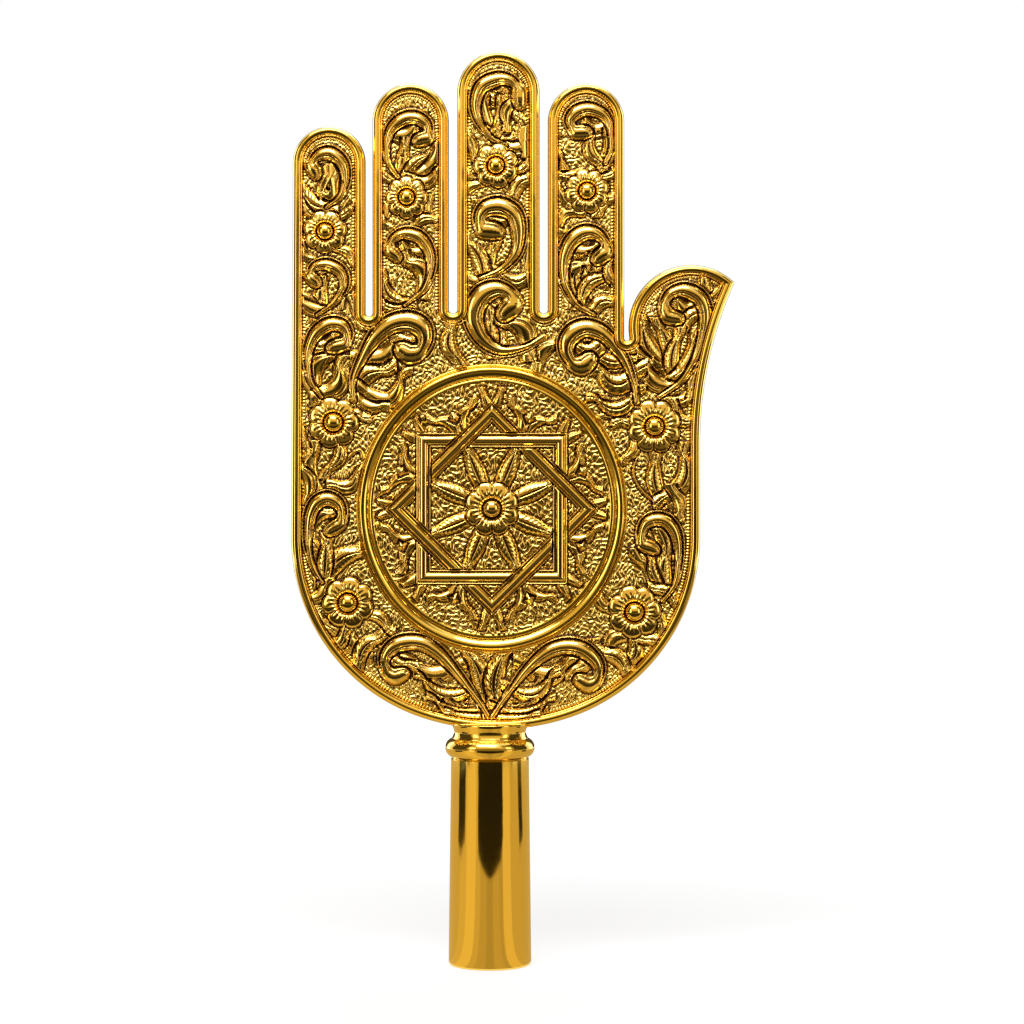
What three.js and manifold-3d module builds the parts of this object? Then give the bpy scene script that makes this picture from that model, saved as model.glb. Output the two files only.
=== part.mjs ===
// Hand-shaped standard finial (panja): two embossed brass sheets riveted over a flat steel core, bound
// by a rolled rim, standing in a turned neck on a tapered pole socket.
// Millimetres, +Z up, the palm faces -Y. The origin is the centre of the socket's mouth.

import * as THREE from "three";
import { mergeVertices } from "three/addons/utils/BufferGeometryUtils.js";
import Module from "manifold-3d";

const wasm = await Module();
wasm.setup();

// Fits: the gap left round a piece that is let into, or lies on, another one
const seatGap = 0.3;

// Pole socket
const socketLength = 96.9;
const socketMouthRadius = 19.5;
const socketTopRadius = 18.4;
const socketWall = 1.8;
const socketLipRounding = 0.8;

// Turned neck: spigot inside the socket, bead, and the waist that carries the hand
const spigotLength = 14;
const beadRadius = 4.7;
const beadReach = 21.2;
const beadTopRadius = 17.9;
const waistRadius = 17.0;
const waistHeight = 6.9;
const waistLipRadius = 17.7;
const waistHollowShare = 0.8;
const neckChamfer = 0.4;
const spigotChamfer = 1.0;
const rimSeatDepth = 3.5;

// Tang of the core, and the pins that hold it in the spigot
const tangWidth = 18;
const tangEndMargin = 1.5;
const tangPinRadius = 1.5;
const tangPinSpacing = 5.5;
const tangPinEndRoom = 1.0;

// Palm outline: from its left edge two side arcs run into one wider bottom arc. The side arcs' centres
// lie apart from the middle of the palm by palmSideShift.
const palmLeftReach = 93.7;
const palmSideShift = 6.4;
const palmBottomSpread = 21;

// Fingers, from the little finger to the index finger: widths, the slots between them and the heights of
// the tips and of the slots' ends above the bottom of the palm. The little finger stands a little inside
// the palm's left edge.
const fingerInset = 0.8;
const littleFingerWidth = 34.2;
const littleFingerTip = 284.4;
const sideFingerWidth = 36.0;
const sideFingerTip = 304.7;
const middleFingerWidth = 38.8;
const middleFingerTip = 319.8;
const littleSlotWidth = 3.3;
const littleSlotFoot = 194.9;
const ringSlotWidth = 4.0;
const indexSlotWidth = 3.9;
const middleSlotsFoot = 196.3;
const fingers = [
  { name: "little_finger", width: littleFingerWidth, tip: littleFingerTip },
  { name: "ring_finger", width: sideFingerWidth, tip: sideFingerTip },
  { name: "middle_finger", width: middleFingerWidth, tip: middleFingerTip },
  { name: "index_finger", width: sideFingerWidth, tip: sideFingerTip },
];
const slots = [
  { width: littleSlotWidth, foot: littleSlotFoot },
  { width: ringSlotWidth, foot: middleSlotsFoot },
  { width: indexSlotWidth, foot: middleSlotsFoot },
];

// Thumb: a round arch from the index finger to the pointed tip, then a hollow flank down to the palm
const thumbArchRadius = 29.5;
const thumbArchHeight = 189.7;
const thumbRootGap = 2.1;
const thumbRootFillet = 1.25;
const thumbTipAngle = 46;
const thumbTipRounding = 1.3;
const sharpestRounding = 0.1;
const thumbOverhang = 16.3;
const thumbFlankFoot = 135;

// Core, embossed sheets and rolled rim, as depths from the middle plane of the hand
const coreThickness = 2.0;
const sheetThickness = 1.0;
const rimHalfThickness = 4.5;
const rimCrestInset = 2.4;
const rimWidth = 4.4;
const rimWall = 2.2;
const rimLipRounding = 0.8;

// Medallion and its ring
const medallionShift = -1.8;
const medallionHeight = 104.5;
const medallionStretch = 1.065; // the medallion and its ring are this much taller than wide
const ringOuterRadius = 64;
const ringEdgeWidth = 1.3;
const ringBeadWidth = 4.8;
const ringBeadHeight = 2.3;
const ringBeadFootAngle = 15;
const ringStepWidth = 2.6;
const ringStepHeight = 0.7;
const ringRibWidth = 1.0;
const starMargin = 9.8;
const starBandWidth = 6.4;
const starHeight = 2.0;
const starPoints = 8;
const medallionRosette = { radius: 13, dome: 4.2, petals: 8, turn: 0 };
const studMargin = 9.3;
const studSize = 3.6;
const studHeight = 1.8;
const studTipSize = 0.2;

// Rosettes and the dome-headed rivets through them. Each lies on a finger, measured from the middle of
// its tip's arc, or on the palm, measured from its left or right edge and its lowest point.
const rosettes = [
  { on: "little_finger", x: -1.8, z: -32.4, radius: 10.4, dome: 3.7, petals: 7, turn: 10 },
  { on: "ring_finger", x: -1.8, z: -35.7, radius: 10.2, dome: 3.6, petals: 8, turn: 0 },
  { on: "middle_finger", x: -1.2, z: -34.5, radius: 10.8, dome: 3.8, petals: 7, turn: 25 },
  { on: "index_finger", x: 0.4, z: -32.8, radius: 10.6, dome: 3.7, petals: 8, turn: 15 },
  { on: "palm_left", spot: "upper", x: 20.0, z: 145.0, radius: 12.1, dome: 4.3, petals: 7, turn: 0 },
  { on: "palm_right", spot: "upper", x: -21.6, z: 143.2, radius: 12.8, dome: 4.2, petals: 8, turn: 20 },
  { on: "palm_left", spot: "lower", x: 26.8, z: 60.1, radius: 12.3, dome: 4.2, petals: 7, turn: 30 },
  { on: "palm_right", spot: "lower", x: -31.0, z: 55.8, radius: 12.6, dome: 4.2, petals: 7, turn: 5 },
];
const rosetteSeatHeight = 1.0;
const petalHeight = 2.6;
const petalLobeShare = 0.16;
const petalCrownShare = 0.78;
const petalValleyDepth = 0.6;
const rivetShankRadius = 1.6;
const domeFlattening = 0.85;

// Scrolls of the vine, placed as the rosettes are: centre, outer radius, the point that the stem grows
// from, the side on which the stem meets the turn, in degrees, and the way it winds (1 anticlockwise,
// -1 clockwise)
const scrolls = [
  { on: "little_finger", x: -1.0, z: -1.9, radius: 10.2, root: [-1.8, -24.3], from: 0, winds: 1 },
  { on: "little_finger", x: -1.8, z: -52.5, radius: 9.8, root: [-7.2, -72.3], from: -10, winds: 1 },
  { on: "ring_finger", x: -0.1, z: -3.0, radius: 11.0, root: [-3.6, -25.7], from: 185, winds: -1 },
  { on: "ring_finger", x: -1.0, z: -58.8, radius: 11.0, root: [-0.6, -85.7], from: -15, winds: 1 },
  { on: "middle_finger", x: 0.2, z: -0.1, radius: 12.2, root: [1, -23.4], from: 190, winds: -1 },
  { on: "middle_finger", x: 0.2, z: -60.3, radius: 12.4, root: [-8, -86.4], from: -15, winds: 1 },
  { on: "middle_finger", x: -0.2, z: -96.8, radius: 12.0, root: [-6, -119.4], from: 200, winds: -1 },
  { on: "index_finger", x: 0.7, z: 1.0, radius: 11.0, root: [4.7, -22.7], from: -10, winds: 1 },
  { on: "index_finger", x: 0.2, z: -58.7, radius: 11.8, root: [6.7, -89.7], from: 180, winds: -1 },
  { on: "thumb", x: -2.4, z: 11.3, radius: 11.8, root: [-12.9, -33.7], from: -10, winds: 1 },
  { on: "palm_left", x: 18.8, z: 186.1, radius: 10.8, root: [14.7, 156], from: 180, winds: -1 },
  { on: "palm_left", x: 56.9, z: 181.6, radius: 13.1, root: [36.7, 152], from: 170, winds: -1 },
  { on: "palm_left", x: 18.0, z: 102.3, radius: 10.6, root: [17.7, 70], from: 185, winds: -1 },
  { on: "palm_right", x: -56.9, z: 178.8, radius: 13.1, root: [-31.1, 154], from: 20, winds: 1 },
  { on: "palm_right", x: -20.9, z: 92.2, radius: 11.6, root: [-19.1, 65], from: -10, winds: 1 },
  { on: "palm_middle", x: -47.8, z: 31.1, radius: 11.8, root: [-2.7, 6], from: 55, winds: 1 },
  { on: "palm_middle", x: 43.5, z: 29.8, radius: 11.8, root: [-2.7, 6], from: 125, winds: -1 },
];
const scrollSweep = 345;
const scrollEyeShare = 0.42;
const scrollTightening = 1.7;
const scrollGrowth = 0.5;
const scrollTipShare = 0.5;
const stemWidth = 2.4;
const turnWidth = 7.0;
const eyeWidth = 5.0;
const stemHeight = 1.5;
const turnHeight = 3.0;
const ridgeTopShare = 0.45;

// Main leaves between the scrolls, placed from the middles of the rosettes: the foot, the tip, the bend to
// the left as a share of the leaf's length, and the width
const leaves = [
  { by: "little_finger", foot: [0, 11], tip: [-10, 18.5], bend: 0.15, width: 7.5 },
  { by: "ring_finger", foot: [0, -49.5], tip: [-10.5, -38.5], bend: 0.25, width: 8 },
  { by: "middle_finger", foot: [-3, 16], tip: [-5.5, 31], bend: 0.15, width: 8 },
  { by: "palm_upper_left", foot: [14.5, 30.5], tip: [30, 39.5], bend: -0.25, width: 9 },
  { by: "palm_upper_left", foot: [57.5, 31], tip: [57, 44.5], bend: 0, width: 9 },
  { by: "palm_upper_left", foot: [-9.5, -30], tip: [-10, -15], bend: 0.2, width: 9 },
  { by: "palm_upper_right", foot: [5, 29], tip: [-5.5, 46], bend: 0.15, width: 9 },
  { by: "palm_upper_right", foot: [-9.5, 14.5], tip: [-27, 12.5], bend: 0.3, width: 9 },
  { by: "palm_upper_right", foot: [-60, 37], tip: [-69.5, 48.5], bend: -0.3, width: 8 },
  { by: "palm_upper_right", foot: [5.5, -32.5], tip: [13.5, -13.5], bend: -0.25, width: 8.5 },
  { by: "palm_lower_left", foot: [-9, 14], tip: [4, 23.5], bend: 0.15, width: 8.5 },
  { by: "palm_lower_left", foot: [58, -40.5], tip: [36, -36], bend: 0.25, width: 9 },
  { by: "palm_lower_left", foot: [64, -43], tip: [58.5, -26], bend: -0.1, width: 9 },
  { by: "palm_lower_left", foot: [69, -43], tip: [72.5, -26], bend: 0.1, width: 9 },
  { by: "palm_lower_right", foot: [-57.5, -36], tip: [-40, -31], bend: -0.3, width: 9 },
];
const leafHeight = 2.5;
// Places along a leaf, from foot to tip, with the share of its width and height there
const leafForm = [
  { along: 0, share: 0.4 },
  { along: 0.3, share: 1 },
  { along: 0.7, share: 0.8 },
  { along: 1, share: 0.15 },
];

// Steps round a full turn for the turned pieces, round a rosette's petal, and along a scroll
const turnedSteps = 32;
const ringSteps = 36;
const rivetSteps = 8;
const petalSteps = 3;
const stemSteps = 2;
const scrollSteps = 8;
const domeSteps = 2;
const beadSteps = 5;
const hollowSteps = 3;
const lipSteps = 3;

// Steps along the arcs of the hand's outline
const palmBottomSteps = 8;
const palmSideSteps = 6;
const flankSteps = 5;
const thumbTipSteps = 3;
const archSteps = 9;
const rootSteps = 4;
const fingertipSteps = 10;
const slotSteps = 4;

// Derived levels
const throughLength = 3 * socketMouthRadius; // longer than the hand is thick, for cuts right through it
const coreFace = coreThickness / 2;
const sheetBack = coreFace + seatGap;
const sheetFace = sheetBack + sheetThickness;
const rimSlotFace = sheetFace + seatGap;
const sheetEdgeInset = rimWall + seatGap;
const neckShoulder = socketLength + seatGap;
const beadCentreRadius = beadReach - beadRadius;
const beadCentreHeight = neckShoulder + beadRadius;
const waistFoot = beadCentreHeight + beadRadius;
const neckTop = waistFoot + waistHeight;
const palmBottom = neckTop - rimSeatDepth;
const ringInnerRadius = ringOuterRadius - ringEdgeWidth - ringBeadWidth - ringStepWidth;
const ringRibRadius = ringInnerRadius + ringStepWidth + ringRibWidth / 2;
const medallionRadius = ringRibRadius - ringRibWidth / 2 - seatGap;
const sheetOpeningRadius = ringRibRadius + ringRibWidth / 2 + seatGap;
const starReach = ringInnerRadius - starMargin;
const studReach = ringInnerRadius - studMargin;
const spigotFoot = neckShoulder - spigotLength;
const tangPinHeights = [-1, 1].map(
  (side) => neckShoulder - spigotLength / 2 + (side * tangPinSpacing) / 2,
);

const radians = THREE.MathUtils.degToRad;
const degrees = THREE.MathUtils.radToDeg;
const lerp = THREE.MathUtils.lerp;

// Points on an arc in the plane of the hand, both ends included. Angles are in degrees from +X.
function arcPoints(x, z, radius, from, to, steps) {
  const points = [];
  for (let i = 0; i <= steps; i++) {
    const angle = radians(from + ((to - from) * i) / steps);
    points.push([x + radius * Math.cos(angle), z + radius * Math.sin(angle)]);
  }
  return points;
}

// Where two circles cross, on the side of larger z
function circlesCross(a, b) {
  const dx = b.x - a.x;
  const dz = b.z - a.z;
  const distance = Math.hypot(dx, dz);
  const along = (distance ** 2 + a.radius ** 2 - b.radius ** 2) / (2 * distance);
  const across = Math.sqrt(a.radius ** 2 - along ** 2);
  const points = [1, -1].map((side) => [
    a.x + (along * dx - side * across * dz) / distance,
    a.z + (along * dz + side * across * dx) / distance,
  ]);
  return points[0][1] > points[1][1] ? points[0] : points[1];
}

// Left and right edges and centre line of each finger, and the height of its tip arc's centre
const palmLeft = -palmLeftReach;
const places = [];
for (const [i, finger] of fingers.entries()) {
  const left = i === 0 ? palmLeft + fingerInset : places[i - 1].right + slots[i - 1].width;
  places.push({
    name: finger.name,
    left,
    right: left + finger.width,
    x: left + finger.width / 2,
    radius: finger.width / 2,
    tipZ: palmBottom + finger.tip - finger.width / 2,
  });
}

// Thumb, and from its tip the palm's right edge. The flank arc leaves that edge upright and ends at the
// thumb's tip.
const indexRight = places.at(-1).right;
const thumbX = indexRight + thumbRootGap + thumbArchRadius;
const thumbZ = palmBottom + thumbArchHeight;
const tipX = thumbX + thumbArchRadius * Math.cos(radians(thumbTipAngle));
const tipZ = thumbZ + thumbArchRadius * Math.sin(radians(thumbTipAngle));
const palmRight = tipX - thumbOverhang;
const flankZ = palmBottom + thumbFlankFoot;
const flankRadius = (thumbOverhang ** 2 + (tipZ - flankZ) ** 2) / (2 * thumbOverhang);

// Palm's middle and arcs, and the medallion in it
const palmMiddle = (palmLeft + palmRight) / 2;
const palmSideRadius = (palmRight - palmLeft) / 2 - palmSideShift;
const palmBottomRadius = palmSideRadius + palmBottomSpread;
const palmBottomZ = palmBottom + palmBottomRadius;
const palmSideZ = palmBottomZ - Math.sqrt(palmBottomSpread ** 2 - palmSideShift ** 2);
const palmJoint = degrees(Math.atan2(palmBottomZ - palmSideZ, palmSideShift));
const medallionX = palmMiddle + medallionShift;
const medallionZ = palmBottom + medallionHeight;

// Points that the ornament is placed from
const anchors = {
  thumb: [thumbX, thumbZ],
  palm_left: [palmLeft, palmBottom],
  palm_right: [palmRight, palmBottom],
  palm_middle: [palmMiddle, palmBottom],
  ...Object.fromEntries(places.map((place) => [place.name, [place.x, place.tipZ]])),
};

function placed(ornament) {
  const [x, z] = anchors[ornament.on];
  const root = ornament.root && [x + ornament.root[0], z + ornament.root[1]];
  return { ...ornament, x: x + ornament.x, z: z + ornament.z, root };
}

// Name of a rosette, which its rivet carries too
function rosetteName({ on, spot }) {
  return spot ? on.replace("_", `_${spot}_`) : on;
}

// Middles of the rosettes, which the leaves are placed from
const rosetteMiddles = Object.fromEntries(
  rosettes.map(placed).map((rosette) => [rosetteName(rosette), [rosette.x, rosette.z]]),
);

// Outline of the hand moved inwards by inset, anticlockwise seen from the palm side. Every inset gives
// the same number of points, so outlines at two insets can be joined point by point.
function handOutline(inset) {
  const bottom = palmBottomRadius - inset;
  const side = palmSideRadius - inset;
  const points = [
    ...arcPoints(palmMiddle, palmBottomZ, bottom, palmJoint - 180, -palmJoint, palmBottomSteps),
    ...arcPoints(palmMiddle + palmSideShift, palmSideZ, side, -palmJoint, 0, palmSideSteps).slice(1),
  ];

  // Flank, tip and arch of the thumb
  const corner = Math.max(thumbTipRounding - inset, sharpestRounding);
  const flank = { x: palmRight + flankRadius, z: flankZ, radius: flankRadius + inset };
  const arch = { x: thumbX, z: thumbZ, radius: thumbArchRadius - inset };
  const [cornerX, cornerZ] = circlesCross(
    { ...flank, radius: flank.radius + corner },
    { ...arch, radius: arch.radius - corner },
  );
  const toFlank = degrees(Math.atan2(flank.z - cornerZ, flank.x - cornerX));
  const toArch = degrees(Math.atan2(cornerZ - arch.z, cornerX - arch.x));
  points.push(
    ...arcPoints(flank.x, flank.z, flank.radius, 180, 180 + toFlank, flankSteps).slice(0, -1),
    ...arcPoints(cornerX, cornerZ, corner, toFlank, toArch, thumbTipSteps),
  );

  // Fillet between the arch and the index finger's edge
  const rootX = indexRight + thumbRootFillet;
  const reach = thumbArchRadius + thumbRootFillet;
  const rootZ = thumbZ - Math.sqrt(reach ** 2 - (thumbX - rootX) ** 2);
  const rootAngle = degrees(Math.atan2(thumbZ - rootZ, thumbX - rootX));
  points.push(
    ...arcPoints(arch.x, arch.z, arch.radius, toArch, 180 + rootAngle, archSteps).slice(1, -1),
    ...arcPoints(rootX, rootZ, thumbRootFillet + inset, rootAngle, -180, rootSteps),
  );

  // Fingers and slots, from the index finger back to the little finger
  for (let i = places.length - 1; i >= 0; i--) {
    const place = places[i];
    points.push(...arcPoints(place.x, place.tipZ, place.radius - inset, 0, 180, fingertipSteps));
    if (i > 0) {
      const slot = slots[i - 1];
      const half = slot.width / 2;
      const foot = palmBottom + slot.foot + half;
      points.push(...arcPoints(place.left - half, foot, half + inset, 0, -180, slotSteps));
    }
  }
  points.push(
    ...arcPoints(
      palmMiddle - palmSideShift,
      palmSideZ,
      side,
      180,
      180 + palmJoint,
      palmSideSteps,
    ).slice(0, -1),
  );
  return points;
}

// Solid between closed rings of 3-D points. Each ring's points are joined to the next ring's, and the
// last ring to the first, as in a tube bent into a loop.
function loopedSolid(rings) {
  const count = rings[0].length;
  const positions = rings.flat(2);
  const index = [];
  rings.forEach((_, r) => {
    const next = (r + 1) % rings.length;
    for (let i = 0; i < count; i++) {
      const j = (i + 1) % count;
      index.push(r * count + i, r * count + j, next * count + j);
      index.push(r * count + i, next * count + j, next * count + i);
    }
  });
  const geometry = new THREE.BufferGeometry();
  geometry.setAttribute("position", new THREE.Float32BufferAttribute(positions, 3));
  geometry.setIndex(index);
  return geometry;
}

// A closed geometry as a solid that can be joined and cut
function solidOf(geometry) {
  const bare = geometry.clone();
  bare.deleteAttribute("normal");
  bare.deleteAttribute("uv");
  const merged = mergeVertices(bare, 1e-4);
  return new wasm.Manifold(
    new wasm.Mesh({
      numProp: 3,
      vertProperties: new Float32Array(merged.attributes.position.array),
      triVerts: new Uint32Array(merged.index.array),
    }),
  );
}

function geometryOf(solid) {
  const mesh = solid.getMesh();
  const positions = [];
  for (let i = 0; i < mesh.numVert; i++) {
    positions.push(...mesh.vertProperties.subarray(i * mesh.numProp, i * mesh.numProp + 3));
  }
  const geometry = new THREE.BufferGeometry();
  geometry.setAttribute("position", new THREE.Float32BufferAttribute(positions, 3));
  geometry.setIndex([...mesh.triVerts]);
  geometry.computeVertexNormals();
  return geometry;
}

// Flat plate cut to an outline in the plane of the hand, between two depths behind or before it
function plate(outline, fromY, toY) {
  const shape = new THREE.Shape(outline.map(([x, z]) => new THREE.Vector2(x, z)));
  const geometry = new THREE.ExtrudeGeometry(shape, { depth: toY - fromY, bevelEnabled: false });
  // The extrusion runs along +Z, and after the turn along -Y
  geometry.rotateX(Math.PI / 2);
  geometry.translate(0, toY, 0);
  return solidOf(geometry);
}

// Round piece turned about an axis through (x, z) along Y, and drawn out upright where it is stretched.
// Its profile is [radius, depth] pairs, from the palm side backwards.
function turnedAcross(profile, x, z, steps, stretch = 1) {
  const geometry = new THREE.LatheGeometry(
    profile.map(([radius, depth]) => new THREE.Vector2(radius, depth)),
    steps,
  );
  geometry.scale(1, 1, stretch);
  geometry.translate(x, 0, z);
  return geometry;
}

// Round piece turned about the socket's axis. Its profile is [radius, height] pairs, upwards.
function turnedUpright(profile, steps) {
  const geometry = new THREE.LatheGeometry(
    profile.map(([radius, height]) => new THREE.Vector2(radius, height)),
    steps,
  );
  geometry.rotateX(Math.PI / 2);
  return geometry;
}

function box(sizeX, sizeY, sizeZ, x, y, z) {
  const geometry = new THREE.BoxGeometry(sizeX, sizeY, sizeZ);
  geometry.translate(x, y, z);
  return solidOf(geometry);
}

function crossHole(radius, x, z, length, steps, stretch = 1) {
  return solidOf(
    turnedAcross(
      [
        [0, -length / 2],
        [radius, -length / 2],
        [radius, length / 2],
        [0, length / 2],
      ],
      x,
      z,
      steps,
      stretch,
    ),
  );
}

// Polished brass, chased brass, and the plain steel of the hidden pieces
const finishes = {
  polished: { color: 0xe0ac2e, roughness: 0.12, metalness: 1 },
  chased: { color: 0xd6a12a, roughness: 0.22, metalness: 1 },
  steel: { color: 0x9a9a98, roughness: 0.45, metalness: 1 },
};

function meshOf(name, geometry, finish) {
  geometry.computeVertexNormals();
  const mesh = new THREE.Mesh(geometry, new THREE.MeshStandardMaterial(finishes[finish]));
  mesh.name = name;
  return mesh;
}

// Inner radius of the socket's taper at a height above its mouth
function socketBore(height) {
  const share = height / socketLength;
  return lerp(socketMouthRadius, socketTopRadius, share) - socketWall;
}

function socketTube() {
  const lip = socketLipRounding;
  const profile = [[socketBore(0), 0]];
  for (let i = 0; i <= lipSteps; i++) {
    const angle = radians(-90 + (90 * i) / lipSteps);
    const reach = socketMouthRadius - lip + lip * Math.cos(angle);
    profile.push([reach, lip + lip * Math.sin(angle)]);
  }
  profile.push([socketTopRadius, socketLength]);
  profile.push([socketBore(socketLength), socketLength]);
  profile.push([socketBore(0), 0]);
  return meshOf("socket_tube", turnedUpright(profile, turnedSteps), "polished");
}

function neckCollar() {
  const profile = [
    [0, spigotFoot],
    [socketBore(spigotFoot) - seatGap - spigotChamfer, spigotFoot],
    [socketBore(spigotFoot) - seatGap, spigotFoot + spigotChamfer],
    [socketBore(socketLength) - seatGap, neckShoulder],
    [socketTopRadius - seatGap, neckShoulder],
  ];
  // The bead, from where it leaves the shoulder to the small step under the waist
  const start = -Math.acos((socketTopRadius - beadCentreRadius) / beadRadius);
  const end = Math.acos((beadTopRadius - beadCentreRadius) / beadRadius);
  for (let i = 0; i <= beadSteps; i++) {
    const angle = start + ((end - start) * i) / beadSteps;
    profile.push([
      beadCentreRadius + beadRadius * Math.cos(angle),
      beadCentreHeight + beadRadius * Math.sin(angle),
    ]);
  }
  // The hollow of the waist, opening again to the lip that holds the hand's rim
  const hollow = waistHeight * waistHollowShare;
  for (let i = 0; i <= hollowSteps; i++) {
    const share = i / hollowSteps;
    const straight = lerp(beadTopRadius, waistLipRadius, share);
    profile.push([
      lerp(straight, waistRadius, Math.sin(Math.PI * share)),
      waistFoot + hollow * share,
    ]);
  }
  profile.push([waistLipRadius, neckTop - neckChamfer]);
  profile.push([waistLipRadius - neckChamfer, neckTop]);
  profile.push([0, neckTop]);
  const turned = solidOf(turnedUpright(profile, turnedSteps));
  const saddle = plate(handOutline(-seatGap), -rimHalfThickness - seatGap, rimHalfThickness + seatGap);
  const neck = turned.subtract(saddle).subtract(tangWay(2 * neckTop)).subtract(tangPinHoles());
  return meshOf("neck_collar", geometryOf(neck), "polished");
}

// Upright passage for the tang, of a length that reaches as far above the hand's foot as below it
function tangWay(length) {
  return box(tangWidth + 2 * seatGap, coreThickness + 2 * seatGap, length, 0, 0, palmBottom);
}

function tangPinHoles() {
  return wasm.Manifold.union(
    tangPinHeights.map((height) =>
      crossHole(tangPinRadius + seatGap, 0, height, throughLength, rivetSteps),
    ),
  );
}

function tangPins() {
  return tangPinHeights.map((height, i) => {
    // The pin's ends stay inside the socket's bore
    const halfLength = socketBore(height) - tangPinEndRoom;
    const profile = [
      [0, -halfLength],
      [tangPinRadius, -halfLength],
      [tangPinRadius, halfLength],
      [0, halfLength],
    ];
    const name = ["tang_pin_lower", "tang_pin_upper"][i];
    return meshOf(name, turnedAcross(profile, 0, height, rivetSteps), "steel");
  });
}

function corePlate() {
  const blank = plate(handOutline(sheetEdgeInset), -coreFace, coreFace);
  const tangFoot = spigotFoot + tangEndMargin;
  const tangTop = palmBottom + 2 * rimWidth;
  const tang = box(tangWidth, coreThickness, tangTop - tangFoot, 0, 0, (tangTop + tangFoot) / 2);
  const core = blank.add(tang).subtract(tangPinHoles()).subtract(rivetHoles());
  return meshOf("core_plate", geometryOf(core), "steel");
}

function rivetHoles() {
  return wasm.Manifold.union(
    rosettes
      .map(placed)
      .map(({ x, z }) => crossHole(rivetShankRadius + seatGap, x, z, throughLength, rivetSteps)),
  );
}

// Rolled rim: a rounded channel that takes the edges of the core and of both sheets
function rimBand() {
  const half = [
    [rimWall, rimSlotFace],
    [rimWidth, rimSlotFace],
    [rimWidth, rimHalfThickness - rimLipRounding],
    [rimCrestInset, rimHalfThickness],
    ...[60, 30].map((angle) => [
      rimCrestInset * (1 - Math.cos(radians(angle))),
      rimHalfThickness * Math.sin(radians(angle)),
    ]),
  ];
  const section = [
    ...half,
    [0, 0],
    ...half.toReversed().map(([inset, depth]) => [inset, -depth]),
  ];
  const rings = section.map(([inset, depth]) => handOutline(inset).map(([x, z]) => [x, depth, z]));
  const band = solidOf(loopedSolid(rings));
  return meshOf("rim_band", geometryOf(band.subtract(tangWay(4 * rimWidth))), "polished");
}

// Closed solid over rings of points that lie one inside the other, from a foot to a top. Each ring has
// the same number of points, anticlockwise seen from the palm side.
function stackedSolid(rings) {
  const count = rings[0].length;
  const middle = (ring) => [0, 1, 2].map((axis) => ring.reduce((sum, p) => sum + p[axis], 0) / count);
  const positions = [...rings.flat(), middle(rings[0]), middle(rings.at(-1))];
  const index = [];
  for (let i = 0; i < count; i++) {
    const j = (i + 1) % count;
    for (let r = 0; r < rings.length - 1; r++) {
      const low = r * count;
      const high = low + count;
      index.push(low + i, low + j, high + j, low + i, high + j, high + i);
    }
    const last = (rings.length - 1) * count;
    index.push(j, i, rings.length * count);
    index.push(last + i, last + j, rings.length * count + 1);
  }
  const geometry = new THREE.BufferGeometry();
  geometry.setAttribute("position", new THREE.Float32BufferAttribute(positions.flat(), 3));
  geometry.setIndex(index);
  return geometry;
}

// Rosette: lobed petals that rise to a crown and fall to a round seat for the rivet's dome
function rosetteRelief(rosette) {
  const steps = rosette.petals * petalSteps;
  const ring = (radius, height, lobe) => {
    const points = [];
    for (let i = 0; i < steps; i++) {
      const angle = radians(rosette.turn + (360 * i) / steps);
      const valley = i % petalSteps === 0 ? lobe : 0;
      points.push([
        rosette.x + (radius - valley) * Math.cos(angle),
        -(sheetFace + height - valley * petalValleyDepth),
        rosette.z + (radius - valley) * Math.sin(angle),
      ]);
    }
    return points;
  };
  const foot = ring(rosette.radius, 0, rosette.radius * petalLobeShare);
  return solidOf(
    stackedSolid([
      foot.map(([x, , z]) => [x, -sheetFace, z]),
      ring(rosette.radius * petalCrownShare, petalHeight, rosette.radius * petalLobeShare),
      ring(rosette.dome + seatGap, rosetteSeatHeight, 0),
    ]),
  );
}

// Middle line of a scroll, with the ridge's width and height at each point: a stem that leaves its root,
// bends into the turn, swells as it winds inwards and closes in a rounded eye
function scrollLine(scroll) {
  const outer = scroll.radius - turnWidth / 2;
  const turnPoint = (share) => {
    const angle = radians(scroll.from + scroll.winds * scrollSweep * share);
    const radius = outer * lerp(1, scrollEyeShare, share ** scrollTightening);
    return [scroll.x + radius * Math.cos(angle), scroll.z + radius * Math.sin(angle)];
  };
  const start = turnPoint(0);
  const gap = Math.hypot(start[0] - scroll.root[0], start[1] - scroll.root[1]);
  const heading = radians(scroll.from + scroll.winds * 90);
  const bend = [
    start[0] - (gap / 2) * Math.cos(heading),
    start[1] - (gap / 2) * Math.sin(heading),
  ];
  const stem = new THREE.QuadraticBezierCurve(
    new THREE.Vector2(...scroll.root),
    new THREE.Vector2(...bend),
    new THREE.Vector2(...start),
  );
  const line = [];
  for (let i = 0; i < stemSteps; i++) {
    const point = stem.getPoint(i / stemSteps);
    line.push({ x: point.x, z: point.y, width: stemWidth, height: stemHeight });
  }
  for (let i = 0; i <= scrollSteps; i++) {
    const share = i / scrollSteps;
    const [x, z] = turnPoint(share);
    const grown = Math.min(1, share / scrollGrowth);
    const swollen = Math.max(0, share * 2 - 1);
    const closing = i === scrollSteps ? scrollTipShare : 1;
    line.push({
      x,
      z,
      width: (lerp(stemWidth, turnWidth, grown) + (eyeWidth - turnWidth) * swollen) * closing,
      height: lerp(stemHeight, turnHeight, grown) * closing,
    });
  }
  return line;
}

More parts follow.
